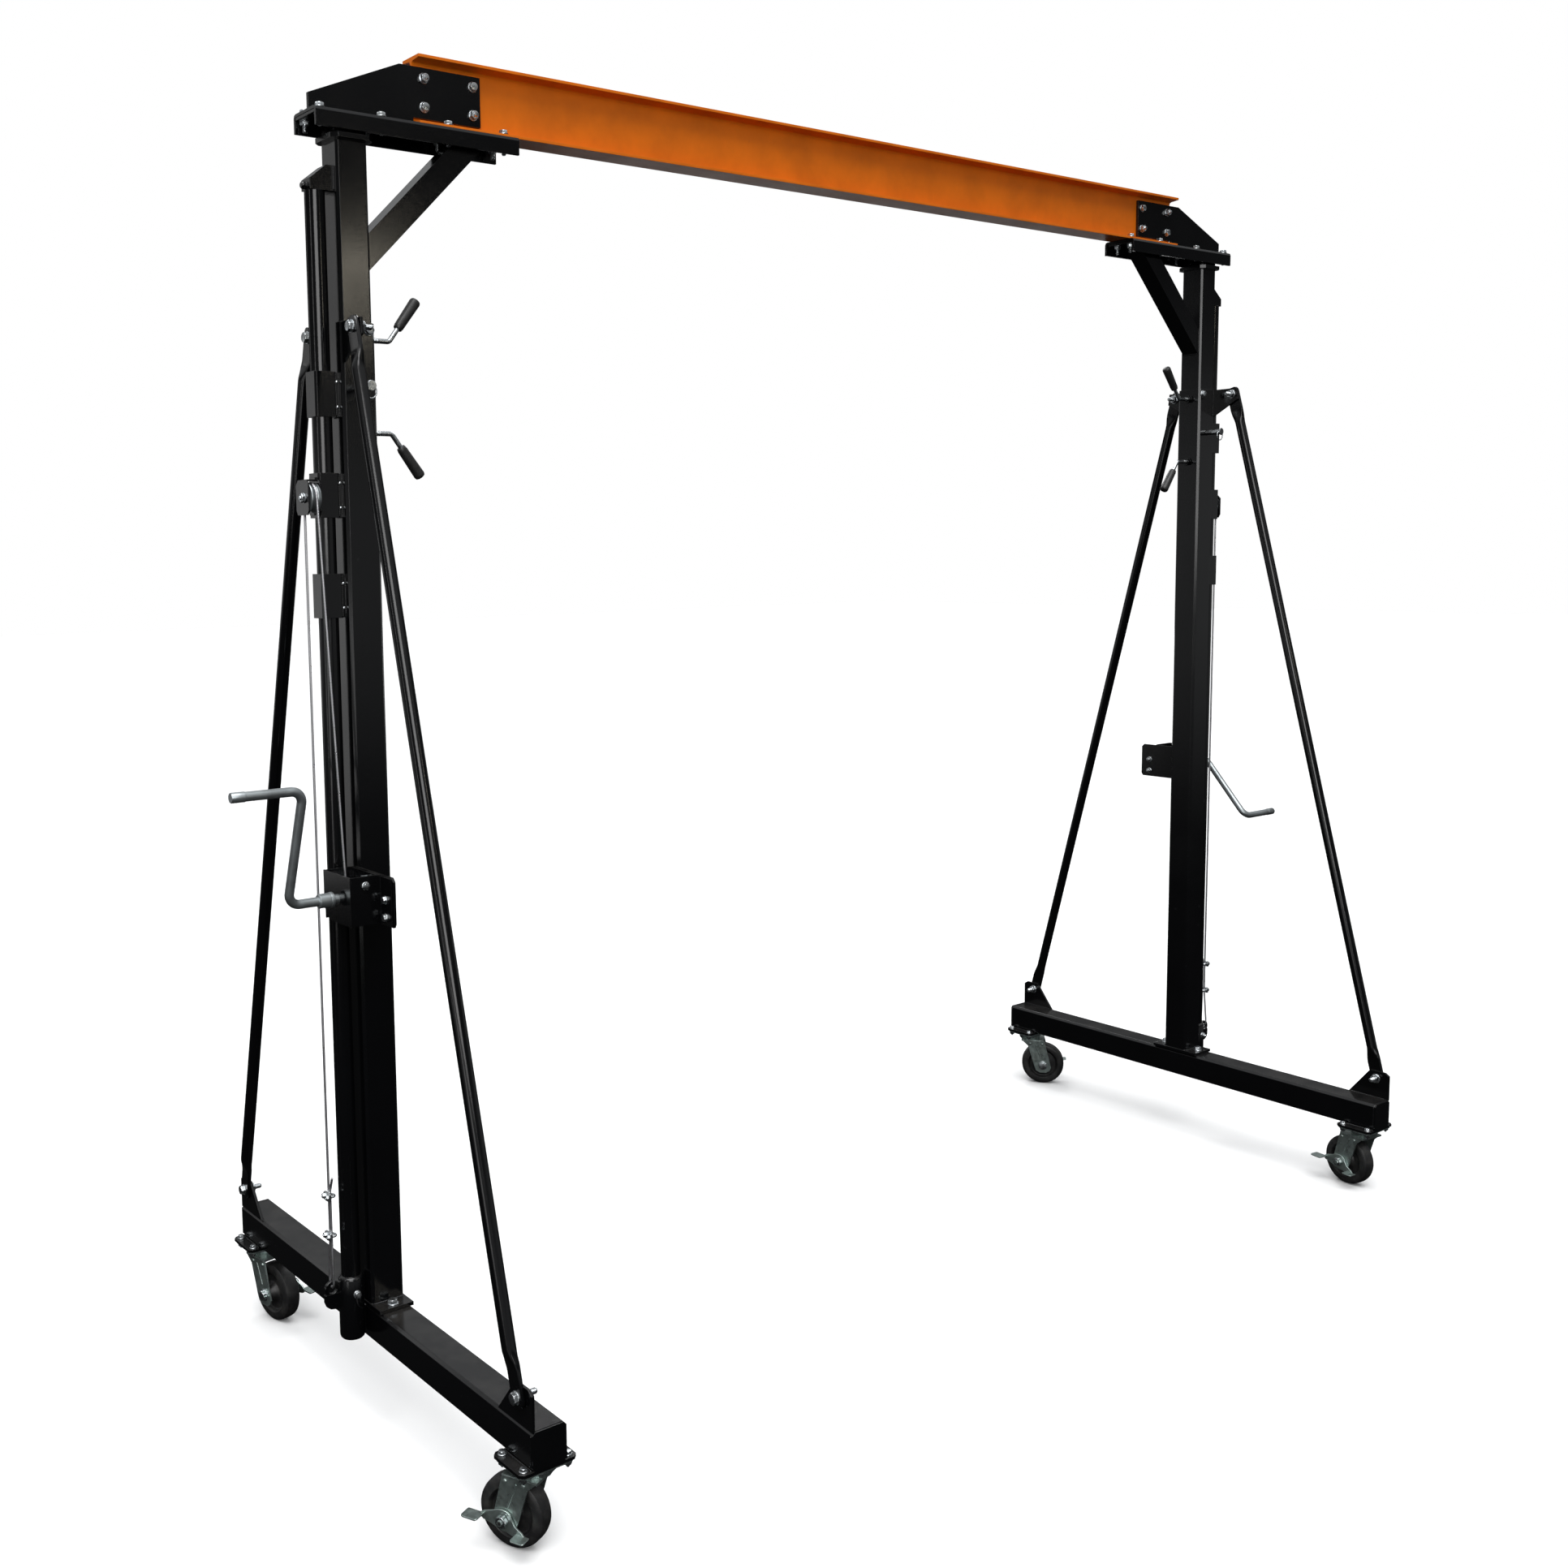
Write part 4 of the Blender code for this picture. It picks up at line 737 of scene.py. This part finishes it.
def winch(side):
    at = outward(side)
    y, z, rope_radius = DRUM
    axis = direction(side, 1, 0, 0)
    body = "winch_" + side
    core = rope_radius - 0.0030
    # drum with a toothed ratchet wheel at its inner end
    bm = bmesh.new()
    turned(bm, at(0, y, z), axis, [(0.0547, 0.0098), (0.0547, core), (0.1065, core),
                                   (0.1065, 0.0345), (0.1070, 0.0358), (0.1080, 0.0362),
                                   (0.1090, 0.0358), (0.1095, 0.0345), (0.1095, 0.0098)],
           48, closed=True)
    teeth = []
    for k in range(16):
        for share, radius in ((0.0, 0.0402), (0.12, 0.0402), (0.9, 0.0350)):
            angle = 2 * math.pi * (k + share) / 16
            teeth.append((radius * math.cos(angle), radius * math.sin(angle)))
    plate(bm, teeth, lambda a, b, c: at(c, y + a, z + b), 0.0487, 0.0548)
    name = "winch_drum_" + side
    piece(name + "_turned", bm, STEEL, body, 40, [name])
    # the layer of rope wound on the drum
    bm = bmesh.new()
    turns, start, end = 4, 0.0577, 0.0765
    points = [at(start + (end - start) * k / (turns * 40),
                 y + (rope_radius - 0.0003) * math.cos(2 * math.pi * k / 40),
                 z + (rope_radius - 0.0003) * math.sin(2 * math.pi * k / 40))
              for k in range(turns * 40 + 1)]
    rope(bm, points)
    piece("wound_rope_" + side, bm, ROPE, body, 60)
    # crank: one bent bar, with its boss and a flanged bush on the winch's face
    angle = CRANK_ANGLE[side]
    reach = Vector((CRANK_THROW * math.cos(angle), CRANK_THROW * math.sin(angle)))
    tip_y, tip_z = y + reach.x, z + reach.y
    corner_points = [at(0.0442, y, z), at(CRANK_ELBOWS[0], y, z),
                     at(CRANK_ELBOWS[1], tip_y, tip_z), at(CRANK_END, tip_y, tip_z)]
    bm = bmesh.new()
    round_bar(bm, path_points(corner_points, 0.024, 12), CRANK_BAR, 28)
    turned(bm, at(CRANK_END, tip_y, tip_z), axis,
           [(-0.0290, 0.0096), (-0.0285, 0.0104), (-0.0015, 0.0104), (-0.0002, 0.0094)], 28)
    turned(bm, at(WINCH_FACE, y, z), axis,
           [(0.0120, 0.0096), (0.0122, 0.0150), (0.0130, 0.0158), (0.0180, 0.0158),
            (0.0190, 0.0148), (0.0425, 0.0145), (0.0440, 0.0130), (0.0442, 0.0096)], 32)
    name = "winch_crank_" + side
    piece(name + "_bar", bm, STEEL, body, 40, [name])


def rope_runs(side):
    at = outward(side)
    body = "frame_" + side
    drum_y, drum_z, drum_radius = DRUM
    y, z, radius = SHEAVE
    points = []
    for k in range(45):
        angle = math.radians(-275 + 6.25 * k)
        points.append(at(0.083, drum_y + drum_radius * math.cos(angle),
                         drum_z + drum_radius * math.sin(angle)))
    for k in range(33):
        angle = math.pi - math.pi * k / 32
        points.append(at(CABLE_OUT, y + radius * math.cos(angle), z + radius * math.sin(angle)))
    bm = bmesh.new()
    rope(bm, points)
    name = "winding_cable_" + side
    piece(name + "_rope", bm, ROPE, body, 60, [name])
    bm = bmesh.new()
    top, bottom = z + 0.0005, STRAND_END
    rope(bm, [at(CABLE_OUT, 0, top), at(CABLE_OUT, 0, bottom)])
    name = "lifting_cable_" + side
    strand = piece(name + "_rope", bm, ROPE, body, 60, [name])
    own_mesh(strand)


CLIP_HEIGHTS = (0.4375, 0.524)


def cable_anchor(side):
    """Rope loop through the lug's eye, with its tail held by two U-bolt clips."""
    at = outward(side)
    out, spread, tail = CABLE_OUT, 0.0084, 0.0066
    bottom = EYE_Z + EYE_RADIUS - 0.0053
    low, high = CLIP_HEIGHTS
    points = [at(out, 0, 0.5755), at(out, 0, low), at(out, spread, bottom + spread * 2.6)]
    for k in range(13):
        angle = math.radians(-15 * k)
        points.append(at(out, spread * math.cos(angle), bottom + spread * (1 + math.sin(angle))))
    points += [at(out, -spread, bottom + spread * 2.6), at(out, -tail, low),
               at(out, -tail, high + 0.012), at(out, -tail - 0.012, 0.567)]
    bm = bmesh.new()
    rope(bm, points, 0.0030)
    name = "cable_anchor_" + side
    piece(name + "_rope", bm, ROPE, "upper", 60, [name])
    bm = bmesh.new()
    middle, apart, bar = -tail / 2, 0.0088, 0.0026
    for z in CLIP_HEIGHTS:
        saddle = rounded(0.0138, 0.0090, 0.0030)
        plate(bm, saddle, lambda a, b, c: at(c, middle + a, z + b), out + 0.0020, out + 0.0078,
              0.0010)
        for leg in (-apart, apart):
            round_bar(bm, [at(out + 0.0125, middle + leg, z), at(out - 0.0040, middle + leg, z)],
                      bar, 14)
            hexagon(bm, at(out + 0.0076, middle + leg, z), direction(side, 1, 0, 0), 0.0060,
                    0.0044, 0.2, (bar, 0.0022))
        bow = [at(out - 0.0040 - 0.0060 * math.sin(math.pi * k / 16),
                  middle - apart * math.cos(math.pi * k / 16), z) for k in range(17)]
        round_bar(bm, bow, bar, 14)
    piece("cable_clips_" + side, bm, ZINC, "upper")


# ---- pins and clamp handles ---------------------------------------------------------------
PIN_Z = 2.205
RING_RADIUS = 0.0133
CLAMP_HEIGHTS = (("upper", 2.306), ("lower", 2.118))


def lock_pin(side):
    """Pin with a collar and a pull ring, which is at the -Y end on both frames."""
    x = outward(side)(0, 0, 0).x
    axis = Vector((0, -1, 0))
    centre = Vector((x, 0, PIN_Z))
    bm = bmesh.new()
    turned(bm, centre, axis, [(0.0356, 0.0060), (0.0370, 0.0076), (0.0384, 0.0080),
                              (0.0871, 0.0080), (0.0871, 0.0100), (0.0877, 0.0105),
                              (0.0895, 0.0105), (0.0901, 0.0098)], 32)
    ring = []
    for k in range(40):
        angle = 2 * math.pi * k / 40
        ring.append(Vector((x + RING_RADIUS * math.sin(angle), -0.0841,
                            PIN_Z - 0.0115 + RING_RADIUS * math.cos(angle))))
    round_bar(bm, ring, 0.0015, 10, closed=True)
    name = "lock_pin_" + side
    piece(name + "_turned", bm, ZINC, "pin_" + side, 40, [name])


def clamp_handle(side, level, z):
    at = outward(side)
    rise = 1 if level == "upper" else -1
    half = COLUMN_HALF
    elbow, end = at(-half - 0.051, 0, z), at(-half - 0.1155, 0, z + rise * 0.086)
    slant = (end - elbow).normalized()
    body = "clamp_" + level + "_" + side
    name = "clamp_handle_" + level + "_" + side
    bm = bmesh.new()
    path = path_points([at(-half + 0.0030, 0, z), elbow, elbow + slant * 0.060], 0.010, 8)
    round_bar(bm, path, 0.0053, 20)
    screw(bm, at(-half - 0.0102, 0, z), direction(side, -1, 0, 0), 0.0056, 0.016)
    piece(name + "_rod", bm, ZINC, body, 40, [name])
    bm = bmesh.new()
    grip = [(0.0005, 0.0072), (0.0, 0.0088), (0.0012, 0.0096), (0.0040, 0.0100)]
    for k in range(14):
        along = 0.008 + 0.0042 * k
        swell = 0.0108 + 0.0012 * k / 13
        grip += [(along, swell), (along + 0.0021, swell - 0.0003)]
    grip += [(0.0680, 0.0121), (0.0720, 0.0117), (0.0750, 0.0102), (0.0765, 0.0070),
             (0.0769, 0.0020)]
    turned(bm, elbow + slant * 0.034, slant, grip, 28)
    piece(name + "_grip", bm, RUBBER, body, 50, [name])


# ---- casters ------------------------------------------------------------------------------
WHEEL_RADIUS = 0.0705
TRAIL = 0.045
LEG = 0.0395                 # outer face of the fork's legs


def caster_axes(key):
    """place(a, b, c): a along the trail, b along the axle towards the brake, c up."""
    swivel = Vector(joints["swivel_turn_" + key]["pos_m"])
    axle = Vector(joints["wheel_roll_" + key]["pos_m"])
    along = Vector((axle.x - swivel.x, axle.y - swivel.y, 0)).normalized()
    across = Vector((-along.y, along.x, 0))
    base = Vector((swivel.x, swivel.y, 0))
    return lambda a, b, c: base + along * a + across * b + Vector((0, 0, c))


def caster_wheel(key):
    place = caster_axes(key)
    centre = place(TRAIL, 0, WHEEL_RADIUS)
    axis = place(0, 1, 0) - place(0, 0, 0)
    half, name = 0.020, "caster_wheel_" + key
    tyre = [(-half, 0.0500), (-half - 0.0002, 0.0585), (-half + 0.0010, 0.0648),
            (-half + 0.0042, 0.0688), (-half + 0.0095, 0.0702), (0.0, 0.0705),
            (half - 0.0095, 0.0702), (half - 0.0042, 0.0688), (half - 0.0010, 0.0648),
            (half + 0.0002, 0.0585), (half, 0.0500)]
    core = [(half - 0.0008, 0.0490), (half - 0.0030, 0.0468), (half - 0.0090, 0.0450),
            (half - 0.0105, 0.0420), (half - 0.0080, 0.0260), (half - 0.0020, 0.0200),
            (0.0320, 0.0158), (0.0343, 0.0140), (0.0343, 0.0068)]
    loop = tyre + core + [(-along, radius) for along, radius in reversed(core)]
    bm = bmesh.new()
    turned(bm, centre, axis, loop, 72, closed=True)
    piece(name + "_moulded", bm, TYRE, "wheel_" + key, 32, [name])
    bm = bmesh.new()
    for sign in (-1, 1):
        turned(bm, centre, axis * sign,
               [(0.0335, 0.0067), (0.0346, 0.0067), (0.0349, 0.0075), (0.0349, 0.0105),
                (0.0345, 0.0112), (0.0345, 0.0134), (0.0335, 0.0138)], 32, closed=True)
    piece("wheel_bearings_" + key, bm, ZINC, "wheel_" + key)


def caster_fork(key):
    """Small parts on the pressed fork: kingpin, axle nuts, rivets, beads and race."""
    place = caster_axes(key)
    up = Vector((0, 0, 1))
    body = "swivel_" + key
    bm = bmesh.new()
    turned(bm, place(0, 0, 0), up, [(0.1540, 0.0090), (0.1560, 0.0110), (0.1578, 0.0110),
                                    (0.1585, 0.0090)], 24)
    hexagon(bm, place(0, 0, 0.1545), -up, 0.0078, 0.0016, 0.4)
    side = place(0, 1, 0) - place(0, 0, 0)
    turned(bm, place(TRAIL, 0, WHEEL_RADIUS), side,
           [(LEG + 0.0160, 0.0045), (LEG + 0.0186, 0.0045), (LEG + 0.0195, 0.0036)], 16)
    hexagon(bm, place(TRAIL, LEG + 0.0066, WHEEL_RADIUS), side, 0.0124, 0.0092, 0.2)
    washer(bm, place(TRAIL, -LEG, WHEEL_RADIUS), -side, 0.0150, 0.0016)
    hexagon(bm, place(TRAIL, -LEG - 0.0014, WHEEL_RADIUS), -side, 0.0124, 0.0070, 0.6)
    piece("fork_hardware_" + key, bm, ZINC, body)
    # rivets at the top of both straps, and a bead along the middle of each
    bm = bmesh.new()
    for sign in (-1, 1):
        points = [place(0.018 + 0.020 * t, sign * (LEG - 0.0010), 0.145 - 0.050 * t)
                  for t in (0.0, 0.25, 0.5, 0.75, 1.0)]
        round_bar(bm, points, 0.0022, 12)
        for a, c in ((0.002, 0.146), (0.042, 0.146)):
            turned(bm, place(a, sign * (LEG - 0.0002), c), side * sign,
                   [(0.0, 0.0048), (0.0012, 0.0046), (0.0024, 0.0032), (0.0029, 0.0012)], 18)
    piece("fork_beads_" + key, bm, FORK_ZINC, body, 50)
    bm = bmesh.new()
    turned(bm, place(0, 0, 0), up, [(0.1680, 0.0362), (0.1690, 0.0372), (0.1702, 0.0372),
                                    (0.1704, 0.0362)], 40)
    piece("fork_race_" + key, bm, ZINC, body)


def brake_pedal(key):
    """Pressed rocker with a dished foot tab behind the wheel and a release tab before it."""
    place = caster_axes(key)
    spot = lambda a, b, c: place(TRAIL + a, c, WHEEL_RADIUS + b)
    low, high = LEG + 0.0012, LEG + 0.0052
    outline = [(-0.0180, 0.0060), (-0.0150, 0.0135), (-0.0080, 0.0180), (0.0030, 0.0195),
               (0.0130, 0.0178), (0.0250, 0.0130), (0.0440, 0.0072), (0.0500, 0.0030),
               (0.0505, -0.0060), (0.0460, -0.0090), (0.0280, -0.0135), (0.0160, -0.0185),
               (0.0040, -0.0215), (-0.0080, -0.0225), (-0.0220, -0.0275), (-0.0340, -0.0320),
               (-0.0430, -0.0305), (-0.0460, -0.0230), (-0.0400, -0.0160), (-0.0250, -0.0070)]
    bm = bmesh.new()
    plate(bm, outline, spot, low, high, 0.0007)
    for middle, width, depth, rise in ((0.0620, 0.0180, 0.0146, -0.0022),
                                       (-0.0410, 0.0150, 0.0128, -0.0243)):
        # a tab bent outwards from the lever's edge, dished along its length
        shape = lambda a, b, c: spot(middle + a, rise + c + 9.0 * a * a, low + depth + b)
        plate(bm, rounded(width, depth, 0.0045), shape, -0.0015, 0.0015, 0.0006)
    name = "brake_pedal_" + key
    piece(name + "_pressed", bm, FORK_ZINC, "brake_" + key, 35, [name])


# ---- camera, floor and light --------------------------------------------------------------
SENSOR, LENS = 36.0, 37.24845             # millimetres
SHIFT = (0.105445, -0.035264)             # in widths of the picture
CAMERA_AT = (-2.9702, -3.0466, 1.8604)
YAW, PITCH, ROLL = math.radians(35.831), math.radians(-6.109), math.radians(-0.8575)
FLOOR_SIZE = 40.0
ROOM_GREYS = ((0.00, 0.010), (0.42, 0.020), (0.47, 0.26), (0.53, 0.28), (0.56, 0.04),
              (0.62, 0.04), (0.67, 0.26), (0.76, 0.48), (1.00, 0.85))
SUN_TOWARDS = (0.25, 0.30, -1.0)


def camera():
    forward = Vector((math.sin(YAW) * math.cos(PITCH), math.cos(YAW) * math.cos(PITCH),
                      math.sin(PITCH)))
    right = Vector((math.cos(YAW), -math.sin(YAW), 0))
    up = right.cross(forward)
    spun_right = right * math.cos(ROLL) + up * math.sin(ROLL)
    spun_up = spun_right.cross(forward)
    turn = Matrix((spun_right, spun_up, -forward)).transposed().to_4x4()
    data = bpy.data.cameras.new("camera")
    data.sensor_width = SENSOR
    data.lens = LENS
    data.shift_x, data.shift_y = SHIFT
    data.clip_end = 100.0
    thing = bpy.data.objects.new("camera", data)
    thing.matrix_world = Matrix.Translation(CAMERA_AT) @ turn
    bpy.context.scene.collection.objects.link(thing)
    bpy.context.scene.camera = thing


def area_light(name, spot, target, size, power, color=(1.0, 1.0, 1.0)):
    data = bpy.data.lights.new(name, "AREA")
    data.shape = "RECTANGLE"
    data.size, data.size_y = size
    data.energy = power
    data.color = color
    thing = bpy.data.objects.new(name, data)
    aim = Vector(target) - Vector(spot)
    thing.matrix_world = (Matrix.Translation(spot)
                          @ aim.to_track_quat("-Z", "Y").to_matrix().to_4x4())
    thing.visible_camera = False
    bpy.context.scene.collection.objects.link(thing)


def floor():
    bm = bmesh.new()
    bmesh.ops.create_grid(bm, x_segments=1, y_segments=1, size=FLOOR_SIZE)
    mesh = bpy.data.meshes.new("floor")
    bm.to_mesh(mesh)
    bm.free()
    look = bpy.data.materials.new("floor_paper")
    look.use_nodes = True
    shader = look.node_tree.nodes["Principled BSDF"]
    shader.inputs["Base Color"].default_value = (0.86, 0.86, 0.86, 1.0)
    shader.inputs["Roughness"].default_value = 0.9
    mesh.materials.append(look)
    thing = bpy.data.objects.new("floor", mesh)
    bpy.context.scene.collection.objects.link(thing)
    # it shows and takes shadows, but throws no light back on the crane's black sides
    thing.visible_diffuse = False
    thing.visible_glossy = False


def room_light():
    """White behind the crane; its light and reflections come from a grey room, bright above.

    ROOM_GREYS gives the room's grey by height, from straight down at 0 to straight up at 1.
    """
    world = bpy.data.worlds.new("studio")
    world.use_nodes = True
    tree = world.node_tree
    background = tree.nodes["Background"]
    path = tree.nodes.new("ShaderNodeLightPath")
    towards = tree.nodes.new("ShaderNodeTexCoord")
    parts = tree.nodes.new("ShaderNodeSeparateXYZ")
    height = tree.nodes.new("ShaderNodeMapRange")
    height.inputs["From Min"].default_value = -1.0
    room = tree.nodes.new("ShaderNodeValToRGB")
    ramp = room.color_ramp
    while len(ramp.elements) < len(ROOM_GREYS):
        ramp.elements.new(0.5)
    for element, (position, grey) in zip(ramp.elements, ROOM_GREYS):
        element.position = position
        element.color = (grey, grey * 1.02, grey * 1.04, 1.0)
    mixed = tree.nodes.new("ShaderNodeMix")
    mixed.data_type = "RGBA"
    mixed.inputs["B"].default_value = (1.0, 1.0, 1.0, 1.0)
    tree.links.new(towards.outputs["Generated"], parts.inputs["Vector"])
    tree.links.new(parts.outputs["Z"], height.inputs["Value"])
    tree.links.new(height.outputs["Result"], room.inputs["Fac"])
    tree.links.new(room.outputs["Color"], mixed.inputs["A"])
    tree.links.new(path.outputs["Is Camera Ray"], mixed.inputs["Factor"])
    tree.links.new(mixed.outputs["Result"], background.inputs["Color"])
    bpy.context.scene.world = world
    bpy.context.scene.view_settings.view_transform = "Standard"


def lamps():
    sun = bpy.data.lights.new("overhead_sun", "SUN")
    sun.energy = 2.7
    sun.angle = math.radians(50)
    overhead = bpy.data.objects.new("overhead_sun", sun)
    overhead.matrix_world = Vector(SUN_TOWARDS).to_track_quat("-Z", "Y").to_matrix().to_4x4()
    bpy.context.scene.collection.objects.link(overhead)
    area_light("key_light", (-3.8, -5.2, 3.4), (-0.2, 0.0, 1.3), (3.4, 3.4), 150.0)
    area_light("side_light", (-5.5, -0.6, 2.2), (-1.4, 0.0, 1.3), (0.4, 2.6), 7.0)
    area_light("low_side_light", (-6.0, -3.0, 0.8), (-1.5, 0.0, 1.2), (1.6, 1.6), 12.0)
    area_light("far_light", (1.65, -6.1, 3.5), (-1.43, 0.0, 2.4), (0.5, 0.35), 4.5,
               (1.0, 0.92, 0.75))
    # these three show in the columns' outer sides and the beam's underside, and fill the back
    area_light("back_light", (-3.9, 4.7, 2.2), (-1.43, 0.0, 1.8), (0.9, 4.1), 6.0)
    area_light("low_light", (7.4, 7.0, 0.72), (7.4, 0.0, 0.72), (7.2, 0.9), 32.0)
    area_light("back_fill", (3.0, 3.8, 5.2), (0.2, 0.0, 2.2), (2.5, 1.5), 100.0)


camera()
floor()
room_light()
lamps()
paint_cad_parts()
for side in SIDES:
    head_bolts(side)
    frame_bolts(side)
    frame_welds(side)
    upper_welds(side)
    brace(side, "front")
    brace(side, "rear")
    lift_tube(side)
    pulley(side)
    winch(side)
    rope_runs(side)
    cable_anchor(side)
    lock_pin(side)
    for level, z in CLAMP_HEIGHTS:
        clamp_handle(side, level, z)
for key in CASTERS:
    caster_wheel(key)
    caster_fork(key)
    brake_pedal(key)
